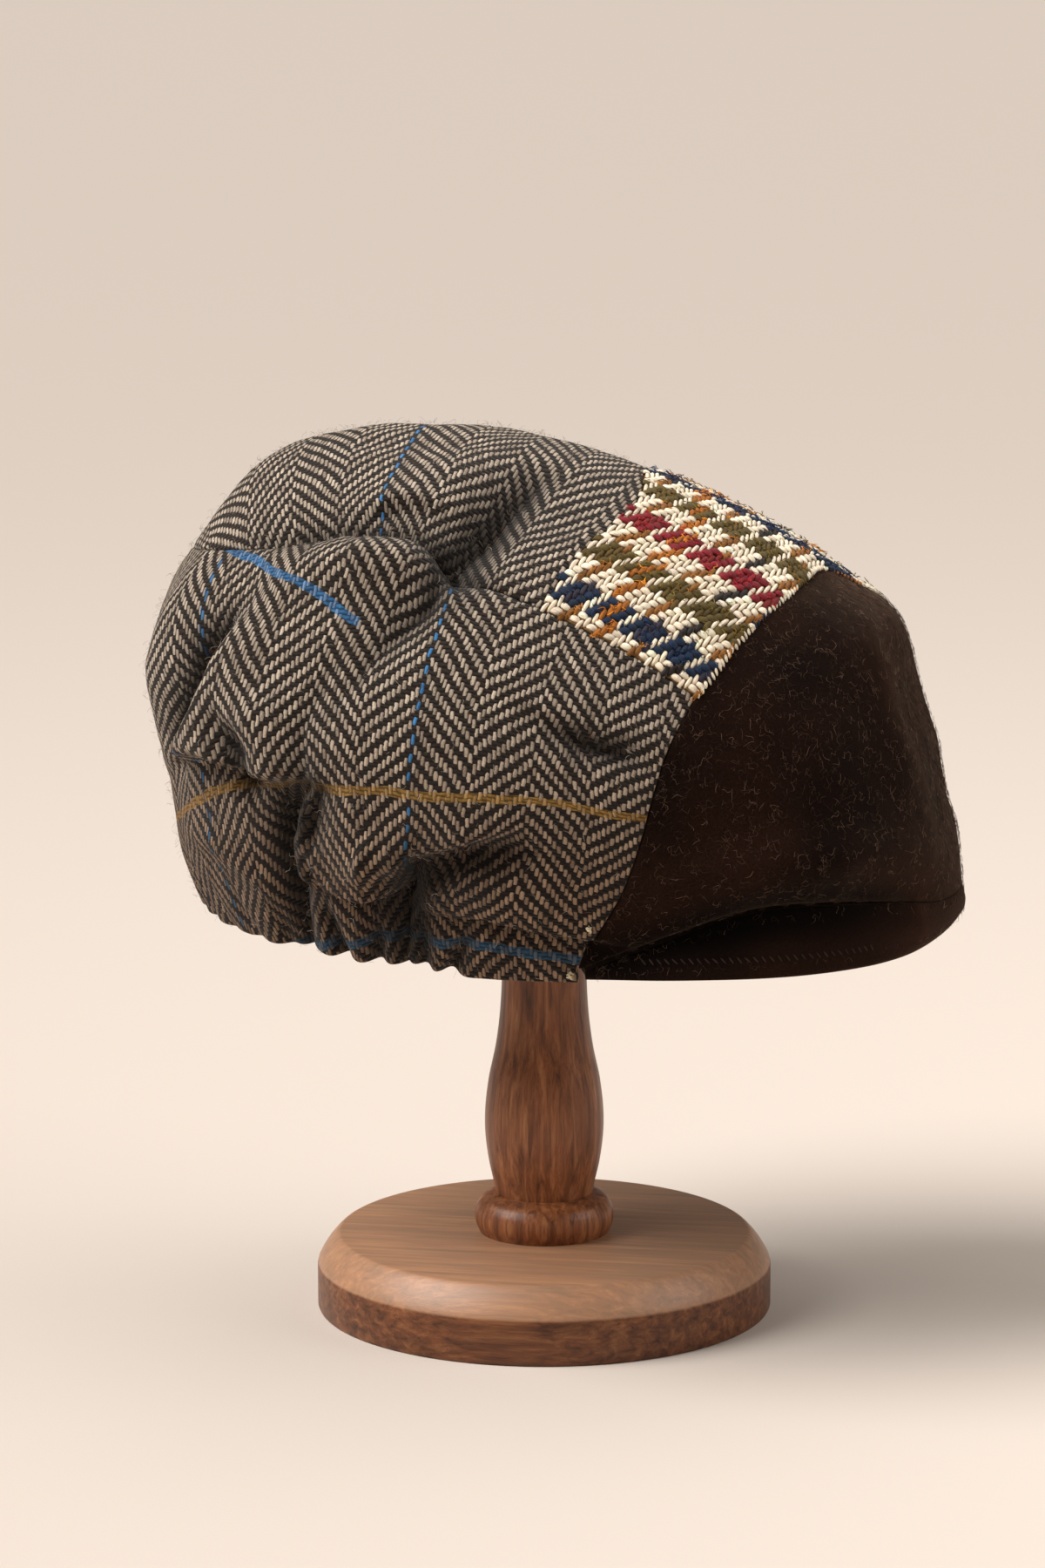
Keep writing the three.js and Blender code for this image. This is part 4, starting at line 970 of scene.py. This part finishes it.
def buildCheckYarns():
    dice = np.random.default_rng(7)
    cloth = ClothMap("crown_patch")
    shape, faces = grainShape(check["segments"], check["rings"])
    width, crossPitch, crossCount = cloth.across[-1], check["crossPitch"], len(crossStripes)
    # each float's place: how far down from the rear edge in mm, and across in rows
    floats = [(i + 0.5, j, 1, crossStripes[i]) for i in range(crossCount)
              for j in range(i % 4 - 4, check["rows"] + 2, 4)]
    floats += [(i, j + 0.5, 0, rowStripes[j]) for j in range(check["rows"])
               for i in range((j + 3) % 4 - 4, crossCount + 2, 4)]
    centres = np.array([(i * crossPitch, j) for i, j, _, _ in floats])
    isCross = np.array([cross for _, _, cross, _ in floats])[:, None] == 1
    names = np.array([name for _, _, _, name in floats])
    room = cloth.lengthAt(acrossRows(centres[:, 1], width))
    keep = (centres[:, 0] > -0.6) & (centres[:, 0] < room + 0.4) & (centres[:, 1] > -0.4)
    keep &= centres[:, 1] < check["rows"] + 0.4
    centres, isCross, names = centres[keep], isCross[keep], names[keep]
    count = len(centres)
    halves = np.where(isCross, check["crossHalf"], check["rowHalf"]) * dice.normal(1, 0.06, (count, 3))
    # dyed floats are stouter than the cream ones
    dyed = (names != "cream")[:, None]
    halves *= np.where(dyed & ~isCross, (1.05, 1.2, 1.0), 1) * np.where(dyed & isCross, (1, 1.3, 1.0), 1)
    centres = centres + dice.normal(0, 0.05, (count, 2))
    x, y, z = shape.T
    x = np.sign(x) * np.abs(x) ** 0.85
    length = x * halves[:, :1]
    side = y * halves[:, 1:2] + dice.normal(0.0, 0.05, (count, 1)) * length
    down = centres[:, :1] + np.where(isCross, side, length)
    across = acrossRows(centres[:, 1:] + np.where(isCross, length, side), width)
    reach = cloth.lengthAt(across)
    down = np.clip(down, -0.7, reach + check["over"])
    across = np.clip(across, -check["over"], width + check["over"])
    spot, up = cloth.place(down, across)
    beyond = np.maximum(down - reach, 0) + np.maximum(-across, 0) + np.maximum(across - width, 0)
    height = z * halves[:, 2:] + check["rise"] - check["dip"] * np.abs(x) ** 2.4 - check["slack"] * beyond
    height += dice.normal(0, 0.06, (count, 1))
    points = spot + up * height[..., None]
    colours = colourRows(check[name] for name in names)
    # brown and charcoal floats that cross a dyed stripe look mostly of its colour
    stripe = np.clip(centres[:, 1].astype(int), 0, check["rows"] - 1)
    stripeNames = np.array(rowStripes)[stripe]
    taken = np.isin(names, ["brown", "charcoal"]) & isCross[:, 0] & (stripeNames != "cream")
    share = check["takenUp"] * taken[:, None]
    colours = colours * (1 - share) + colourRows(check[name] for name in stripeNames) * share
    colours *= dice.normal(1, 0.09, (count, 1)) * (1 + dice.normal(0, 0.012, (count, 3)))
    # the streaks' coordinates: along the yarn, round it, and a start of its own for each
    strand = np.stack([length * 0.7, np.broadcast_to(np.arctan2(z, y) * 1.6, length.shape),
                       np.broadcast_to(dice.random((count, 1)) * 40, length.shape)], -1)
    joinedCopies("check_yarns", points, faces, np.clip(colours, 0, 1), strand,
                 yarnMaterial("Worsted yarn, checked", 0.08))
    # the dyed yarns are softer spun, so loose fibres cover them
    fuzzy = np.repeat(np.flatnonzero(names != "cream"), check["fuzzPerFloat"])
    corner = dice.integers(0, len(shape), len(fuzzy))
    # each loose fibre's tone is scaled at random, from darker to much lighter; the much lighter ones are
    # painted highlights, fibres catching the light
    fuzzColours = np.clip(colours[fuzzy] * dice.uniform(0.3, 3.2, (len(fuzzy), 1)), 0, 1)
    addFibres("check_fuzz", points[fuzzy, corner], up[fuzzy, corner], checkFibre, fuzzColours,
              8, fibreMaterial("Loose worsted fibres"))
    print("checked cloth:", count, "floats,", len(fuzzy), "loose fibres")


edgeLoops = {"apart": 2.0, "inset": 0.8, "half": (1.55, 0.55, 0.55), "turn": 55, "rise": 0.35, "dip": 0.35,
             "colours": ["cream"] * 3 + ["navy"] + ["cream"] * 2 + ["olive"] + ["cream"] * 2 + ["rust"] * 2
                        + ["cream"] * 2 + ["rust"] * 2 + ["olive"] + ["cream"] * 2 + ["navy", "cream"]}


def buildEdgeLoops():
    # the checked cloth's cut edge is overcast to the felt with the same yarn
    dice = np.random.default_rng(9)
    shape, faces = grainShape(check["segments"], check["rings"])
    spots = seamSpots("patchToFelt", np.linspace(0, 1, 1500))
    line, normals = clothAt(spots, edgeLoops["rise"])
    lengths = runLengths(line)
    stops = np.arange(edgeLoops["inset"], lengths[-1] - edgeLoops["inset"], edgeLoops["apart"])
    at = np.searchsorted(lengths, stops)
    count = len(at)
    along = unit(line[np.minimum(at + 3, len(line) - 1)] - line[np.maximum(at - 3, 0)])
    up = normals[at]
    over = np.cross(up, along)
    turn = np.radians(edgeLoops["turn"] + dice.normal(0, 9, (count, 1)))
    way = along * np.cos(turn) + over * np.sin(turn)
    aside = np.cross(up, way)
    half = np.array(edgeLoops["half"]) * dice.normal(1, 0.08, (count, 3))
    long, wide, high = (shape[None, :, k] * half[:, k:k + 1] for k in range(3))
    high = high - edgeLoops["dip"] * (long / edgeLoops["half"][0]) ** 2
    points = (line[at, None] + long[..., None] * way[:, None] + wide[..., None] * aside[:, None]
              + high[..., None] * up[:, None])
    names = [edgeLoops["colours"][int(k * len(edgeLoops["colours"]) / count)] for k in range(count)]
    colours = colourRows(check[name] for name in names) * dice.normal(1, 0.1, (count, 1))
    strand = np.broadcast_to(shape * strandScale, points.shape)
    joinedCopies("check_edge_loops", points, faces, np.clip(colours, 0, 1), strand,
                 yarnMaterial("Worsted yarn, overcast", 0.08))


for panelName, panelCloth, panelSlot in (
        ("crown_side_right", tweedSide, "tweed"), ("crown_side_left", tweedSide, "tweed"),
        ("crown_top", tweedTop, "tweed"), ("crown_patch", checkGround(), "check_cloth"),
        ("crown_front", feltBrown, "felt")):
    buildPanel(panelName, panelCloth)
print("cloth panels")
buildCheckYarns()
buildEdgeLoops()


def scatter(maps, count, dice):
    # places spread evenly over the panels
    spots, ups, sides, sizes = [], [], [], []
    for cloth in maps:
        along = cloth.points[1:, 1:] - cloth.points[1:, :-1]
        over = cloth.points[1:, 1:] - cloth.points[:-1, 1:]
        sizes.append(np.linalg.norm(np.cross(along, over), axis=-1).ravel())
        spots.append(cloth.points[1:, 1:].reshape(-1, 3))
        ups.append(cloth.normals[1:, 1:].reshape(-1, 3))
        sides.append(np.stack([along.reshape(-1, 3), over.reshape(-1, 3)], 1))
    spots, ups, sides, sizes = (np.concatenate(parts) for parts in (spots, ups, sides, sizes))
    chosen = dice.choice(len(spots), count, p=sizes / sizes.sum())
    return spots[chosen] - (sides[chosen] * dice.random((count, 2, 1))).sum(1), ups[chosen]


def looseColours(palette, count, dice):
    picked = dice.integers(0, len(palette), count)
    return colourRows(palette)[picked] * dice.uniform(0.6, 1.2, (count, 1))


tweedFibre = {"count": 3400, "length": (0.8, 3.2), "lift": (0.3, 2.2), "curl": (0.1, 0.7), "thickness": 0.055,
              "palette": ["#B9A894", "#8F7F70", "#5E5045", "#D8CBBA", "#8A5434"]}
feltFibre = {"count": 5600, "length": (1.3, 4.0), "lift": (0.1, 0.6), "curl": (0.5, 1.3), "thickness": 0.07,
             "palette": ["#5A4637", "#3F2F24", "#7E6454", "#291D15"]}


def buildFibres():
    dice = np.random.default_rng(11)
    wool = fibreMaterial("Loose wool fibres")
    for name, panelNames, fibre, slot, seed in (
            ("tweed_fuzz", ("crown_side_right", "crown_side_left", "crown_top"), tweedFibre, "tweed", 12),
            ("felt_fuzz", ("crown_front",), feltFibre, "felt", 13)):
        roots, ups = scatter([ClothMap(panel) for panel in panelNames], fibre["count"], dice)
        colours = looseColours(fibre["palette"], len(roots), dice)
        addFibres(name, roots, ups, fibre, colours, seed, wool)


knots = {"places": [(79, 0.913), (83.3, 0.985)], "grains": 7, "half": (1.1, 0.42, 0.4), "spread": 0.5,
         "rise": 0.6, "bend": 0.3, "colour": "#DCCBA9"}


def buildKnots():
    # ends of the sewing yarn, knotted off beside the felt
    dice = np.random.default_rng(21)
    shape, faces = grainShape(6, 5)
    points = []
    for place in knots["places"]:
        (middle,), (normal,) = clothAt(onDisc(*place)[None], knots["rise"])
        for _ in range(knots["grains"]):
            way = unit(dice.normal(size=3))
            aside = unit(np.cross(way, normal))
            long, wide, high = shape.T * np.array(knots["half"])[:, None]
            curve = knots["bend"] * long**2
            points.append(middle + dice.normal(0, knots["spread"], 3) + long[:, None] * way
                          + (wide + curve)[:, None] * aside + high[:, None] * np.cross(way, aside))
    points = np.array(points)
    colours = colourRows([knots["colour"]] * len(points)) * dice.uniform(0.6, 1.1, (len(points), 1))
    joinedCopies("yarn_knots", points, faces, colours, np.broadcast_to(shape * strandScale, points.shape),
                 yarnMaterial("Sewing yarn, cream", 0.1))


buildFibres()
buildKnots()
print("loose fibres")


# peak: a felt-covered band under the front of the crown, with a ledge behind it; sizes in mm. Each row is the
# angle, the lower edge's height and the flare past the crown.
peakRows = np.array([(0, 134.6, -1), (14, 133.2, -0.3), (28, 130.7, 0.6), (45, 130.1, 1.6), (62, 130.2, 2),
                     (81.6, 129.2, 0.5)])
peak = {"board": 2.6, "seat": 0.45, "step": 0.6, "ledgeRise": 1.0, "leastBand": 2.0, "wall": 2.0,
        "belly": 1.6, "stations": 170, "fibres": 1100, "rounds": [2.6, 2.5, 0.5, 0.6, 0.6, 1.2, 1.3]}
opening = {"middle": -11.5, "length": 100, "width": 85, "leastLedge": 5}


def fromRows(rows, angle, column):
    at = min(abs(angle), rows[-1, 0])
    values = rows[:, column]
    slopes = np.gradient(values, rows[:, 0])
    slopes[0] = 0
    i = min(int(np.searchsorted(rows[:, 0], at, side="right")) - 1, len(rows) - 2)
    span = rows[i + 1, 0] - rows[i, 0]
    t = (at - rows[i, 0]) / span
    return hermite(t, span, values[i], values[i + 1], slopes[i], slopes[i + 1])


def openingReach(toward):
    a = (toward[0] / opening["length"]) ** 2 + (toward[1] / opening["width"]) ** 2
    b = -2 * toward[0] * opening["middle"] / opening["length"] ** 2
    c = (opening["middle"] / opening["length"]) ** 2 - 1
    return (-b + math.sqrt(b * b - 4 * a * c)) / (2 * a)


def peakSection(edge, normal, angle):
    # the band's corners, from its lower outer edge up, in along the ledge and down again
    inside = edge - normal * peak["wall"]
    out = np.array([normal[0], normal[1], 0]) / np.hypot(normal[0], normal[1])
    away = np.hypot(edge[0], edge[1])
    toward = np.array([edge[0], edge[1], 0]) / away
    reach = min(openingReach(toward), away - opening["leastLedge"])
    apart = np.clip((abs(angle) - 18) / 16, 0, 1)
    ledge = min(edge[2], inside[2]) - peak["seat"] * (0.3 + 0.7 * apart)
    low = min(fromRows(peakRows, angle, 1), ledge - peak["leastBand"])
    flare = fromRows(peakRows, angle, 2)
    up = np.array([0, 0, 1.0])
    flat = edge * [1, 1, 0]
    board, step = peak["board"], peak["step"] * apart
    # under the crown's overhang the band leans inwards, least at the very front and at its two ends
    lean = leanAt(angle)
    return [flat + out * flare + up * low,
            flat + out * (flare * 0.4 + step * 0.6 - lean * 0.35 + peak["belly"] * (1.4 - 0.4 * apart))
            + up * (low * 0.5 + ledge * 0.5),
            flat + out * (step - lean) + up * ledge,
            toward * reach + up * (ledge + peak["ledgeRise"]),
            toward * reach + up * (ledge + peak["ledgeRise"] - board),
            flat - out * (board + lean) + up * (ledge - board),
            flat + out * (flare - board) + up * low]


def roundedSection(corners, rounds):
    points = []
    for k, corner in enumerate(corners):
        before, after = corners[k - 1] - corner, corners[(k + 1) % len(corners)] - corner
        sizes = [min(rounds[k], 0.45 * np.linalg.norm(way)) for way in (before, after)]
        start = corner + before / np.linalg.norm(before) * sizes[0]
        end = corner + after / np.linalg.norm(after) * sizes[1]
        for t in (0, 0.33, 0.67, 1):
            points.append(start * (1 - t) ** 2 + corner * 2 * t * (1 - t) + end * t * t)
    return points


def buildPeak():
    short = 0.008
    t = short + np.linspace(0, 1, peak["stations"]) * (1 - 2 * short)
    spots = seamSpots("feltLowerEdge", t)
    angles = fromDisc(spots)[0]
    edges, normals = clothAt(spots)
    sections = [roundedSection(peakSection(edge, normal, angle), peak["rounds"])
                for edge, normal, angle in zip(edges, normals, angles)]
    around = len(sections[0])
    points = np.array([section + section[:1] for section in sections])
    # painted shade on the band's upper part, under the felt that turns in over it
    below = edges[:, None, 2] - points[..., 2]
    hollow = leanShade(angles[:, None], np.maximum(below, 0))
    bpy.ops.mesh.primitive_grid_add(x_subdivisions=around, y_subdivisions=len(sections) - 1, size=1)
    band = bpy.context.object
    band.data.vertices.foreach_set("co", (points * mm).astype(np.float32).ravel())
    shade = band.data.attributes.new("hollow", "FLOAT", "POINT")
    shade.data.foreach_set("value", hollow.astype(np.float32).ravel())
    bpy.ops.object.mode_set(mode="EDIT")
    bpy.ops.mesh.select_all(action="SELECT")
    bpy.ops.mesh.remove_doubles(threshold=1e-6)
    bpy.ops.mesh.select_all(action="DESELECT")
    bpy.ops.mesh.select_mode(type="EDGE")
    bpy.ops.mesh.select_non_manifold()
    bpy.ops.mesh.fill_holes(sides=around + 1)
    bpy.ops.mesh.select_all(action="SELECT")
    bpy.ops.mesh.normals_make_consistent(inside=False)
    bpy.ops.mesh.select_mode(type="VERT")
    bpy.ops.object.mode_set(mode="OBJECT")
    bpy.ops.object.shade_smooth_by_angle(angle=math.radians(50))
    dice = np.random.default_rng(17)
    station = dice.integers(2, len(points) - 3, peak["fibres"])
    lower, upper = points[station, 3], points[station, 8]
    step = points[station + 1, 3] - lower
    ups = unit(np.cross(step, upper - lower))
    ups *= np.sign((ups * normals[station]).sum(-1, keepdims=True))
    roots = lower + (upper - lower) * dice.random((len(station), 1)) + step * dice.random((len(station), 1))
    colours = looseColours(feltFibre["palette"], len(roots), dice)
    addFibres("peak_fuzz", roots, ups, feltFibre, colours, 14, fibreMaterial("Loose felt fibres"))
    bpy.ops.object.select_all(action="DESELECT")
    bpy.context.view_layer.objects.active = band
    newPiece("peak_felt", feltBrown, "peak")


peakStitch = {"up": 6.2, "apart": 2.4, "half": (1.3, 0.3, 0.26), "slant": 0.9, "rise": 0.1, "first": 35,
              "last": 80, "colour": "#2A1C14"}


def buildPeakStitches():
    # a row of small slanting stitches a little above the band's lower edge
    dice = np.random.default_rng(5)
    shape, faces = grainShape(6, 5)
    spots = seamSpots("feltLowerEdge", np.linspace(0.01, 0.99, 1200))
    angles = fromDisc(spots)[0]
    edges, normals = clothAt(spots)
    places = []
    for edge, normal, angle in zip(edges, normals, angles):
        corners = peakSection(edge, normal, angle)
        share = peakStitch["up"] / max(corners[1][2] - corners[0][2], 1)
        if peakStitch["first"] < abs(angle) < peakStitch["last"] and share < 1.4:
            places.append((corners[0] + (corners[1] - corners[0]) * share, normal, corners[1] - corners[0]))
    points, last = [], None
    for place, normal, upwards in places:
        if last is not None and np.linalg.norm(place - last) < peakStitch["apart"]:
            continue
        last = place
        out = normal * [1, 1, 0] / np.hypot(normal[0], normal[1])
        rise = unit(upwards)
        way = unit(rise + np.cross(out, rise) * (peakStitch["slant"] + dice.normal(0, 0.15)))
        long, wide, high = shape.T * np.array(peakStitch["half"])[:, None]
        points.append(place + long[:, None] * way + wide[:, None] * np.cross(out, way)
                      + (high + peakStitch["rise"])[:, None] * out)
    points = np.array(points)
    colours = colourRows([peakStitch["colour"]] * len(points)) * dice.uniform(0.7, 1.5, (len(points), 1))
    joinedCopies("peak_stitches", points, faces, colours, np.broadcast_to(shape * strandScale, points.shape),
                 yarnMaterial("Sewing thread, dark", 0.0))


buildPeak()
buildPeakStitches()
print("peak")


# stand: a turned foot, a baluster column and the domed head that it carries; sizes in mm
foot = {"radius": 75.0, "topRadius": 67.8, "side": 14.7, "height": 24.7, "fullness": 0.5, "eased": 0.7,
        "wornEdge": 1.0}
columnRows = [(0, 21.3), (3, 22.6), (6.2, 22.9), (9.2, 22.1), (11.8, 19.9), (13.1, 17.3), (13.3, 16),
              (16.7, 16.7), (24, 18.3), (36.5, 19.6), (51, 18.4), (62.7, 16), (71.5, 14.8), (81, 14.1),
              (100, 13.8)]  # height above the foot, radius
columnTop = 243.0
headRows = {"under": 47.0, "radius": 50.0, "crown": 5.0, "dome": 66.0, "rim": 7.0, "top": 281.9}

# the darkening of the upright edge is painted shade, and the pale tone over the faces above it is a painted
# sheen
walnut = {"dark": "#4A2814", "mid": "#8A5230", "pale": "#B0784C", "worn": "#C6A283",
          "edgeShade": (0.6, 0.57, 0.52, 1)}  # linear, multiplied over the rest


def woodMaterial(name, along, scale, edgeHeight=None):
    # oiled walnut: long fine grain with darker late wood, a satin film over it
    material, add, shader = newMaterial(name)
    place = add("TexCoord").outputs["Object"]
    stretch = tuple(0.055 if axis == along else 1.0 for axis in "xyz")
    placed = add("Mapping", {"Vector": place, "Scale": stretch})
    wander = add("TexNoise", {"Vector": placed, "Scale": scale * 0.35, "Detail": 4.0})
    grainTex = add("TexNoise", {"Vector": placed, "Scale": scale, "Detail": 8.0, "Roughness": 0.62,
                                "Distortion": 0.6})
    pores = add("TexNoise", {"Vector": placed, "Scale": scale * 7, "Detail": 3.0})
    ramp = add("ValToRGB", {0: grainTex})
    stops = ramp.color_ramp.elements
    stops[0].position, stops[0].color = 0.3, hexColour(walnut["dark"])
    stops[1].position, stops[1].color = 0.72, hexColour(walnut["pale"])
    stops.new(0.52).color = hexColour(walnut["mid"])
    shade = add("MapRange", {0: wander, 1: 0.35, 2: 0.65, 3: 0.8, 4: 1.1})
    dark = add("MapRange", {0: pores, 1: 0.3, 2: 0.5, 3: 0.75, 4: 1.0})
    both = add("Math", {0: shade, 1: dark}, operation="MULTIPLY")
    colour = add("Mix", {0: 1.0, 6: ramp, 7: both}, data_type="RGBA", blend_type="MULTIPLY")
    if edgeHeight:
        # painted light: the upright edge is darkened with painted shade, and the faces above it are paled
        # with a painted sheen
        height = add("SeparateXYZ", {0: place}).outputs[2]
        above = add("MapRange", {0: height, 1: (edgeHeight - 0.3) * mm, 2: (edgeHeight + 0.6) * mm})
        edgeShade = add("Mix", {0: 1.0, 6: colour, 7: walnut["edgeShade"]}, data_type="RGBA", blend_type="MULTIPLY")
        worn = add("Mix", {0: 0.4, 6: colour, 7: walnut["worn"]}, data_type="RGBA")
        colour = add("Mix", {0: above, 6: edgeShade, 7: worn}, data_type="RGBA")
    bump = add("Bump", {"Height": pores, "Strength": 0.15, "Distance": 0.0003})
    fillInputs(shader, {"Base Color": colour, "Roughness": 0.42, "Specular IOR Level": 0.4, "Normal": bump})
    return material


def turnOnLathe(name, rows, segments, material, node):
    # rows of (radius, height), up the side
    bpy.ops.mesh.primitive_circle_add(vertices=segments, radius=rows[0][0] * mm, fill_type="NGON",
                                      location=(0, 0, rows[0][1] * mm))
    bpy.ops.object.transform_apply(location=True, rotation=True, scale=True)
    bpy.ops.object.mode_set(mode="EDIT")
    bpy.ops.mesh.select_all(action="SELECT")
    for (radius, height), (before, below) in zip(rows[1:], rows[:-1]):
        bpy.ops.mesh.extrude_region_move(TRANSFORM_OT_translate={"value": (0, 0, (height - below) * mm)})
        bpy.ops.transform.resize(value=(radius / before, radius / before, 1), center_override=(0, 0, 0))
    bpy.ops.mesh.select_all(action="SELECT")
    bpy.ops.mesh.normals_make_consistent(inside=False)
    bpy.ops.object.mode_set(mode="OBJECT")
    bpy.ops.object.shade_smooth_by_angle(angle=math.radians(38))
    newPiece(name, material, node)


def footRows():
    radius, top, side, height = foot["radius"], foot["topRadius"], foot["side"], foot["height"]
    worn, eased = foot["wornEdge"], foot["eased"]
    rows = [(radius - worn, 0), (radius - 0.3 * worn, 0.3 * worn), (radius, worn), (radius, side - eased),
            (radius - 0.12, side - 0.3 * eased)]
    share = eased / math.hypot(radius - top, height - side)
    for t in np.linspace(share, 1 - share, 9):
        swell = 4 * foot["fullness"] * t * (1 - t)
        rows.append((radius + (top - radius) * t + swell, side + (height - side) * t + swell))
    rows += [(top - 0.3 * eased, height - 0.06), (top - eased, height), (4.0, height)]
    return rows


def smoothRows(rows, steps):
    # the profile between its named heights, kept sharp where two rows nearly share one
    heights, radii = np.array(rows).T
    out = []
    slopes = np.gradient(radii, heights)
    for i in range(len(rows) - 1):
        span = heights[i + 1] - heights[i]
        count = 1 if span < 0.5 else steps
        for k in range(count):
            t = k / count
            radius = hermite(t, span, radii[i], radii[i + 1], slopes[i], slopes[i + 1])
            out.append((heights[i] + span * t, radius))
    return out + [rows[-1]]


woodFlat = woodMaterial("Oiled walnut, foot", "x", 420.0, foot["side"])
woodUpright = woodMaterial("Oiled walnut, column", "z", 420.0)
turnOnLathe("foot_wood", footRows(), 160, woodFlat, "stand_foot")
bead = smoothRows(columnRows[:6], 5)
shaft = smoothRows(columnRows[6:], 6)
columnProfile = [(radius, foot["height"] + up) for up, radius in bead + shaft]
turnOnLathe("column_wood", columnProfile + [(columnRows[-1][1], columnTop)], 96, woodUpright, "stand_column")
headRadii = np.linspace(headRows["radius"], headRows["crown"], 12)
drops = [headRows["dome"] - math.sqrt(headRows["dome"] ** 2 - r * r) for r in headRadii]
headProfile = [(headRows["under"], columnTop)]
headProfile += [(headRows["radius"], headRows["top"] - drops[0] - headRows["rim"])]
headProfile += [(r, headRows["top"] - drop) for r, drop in zip(headRadii, drops)]
turnOnLathe("head_wood", headProfile, 72, woodUpright, "stand_head")
print("stand")
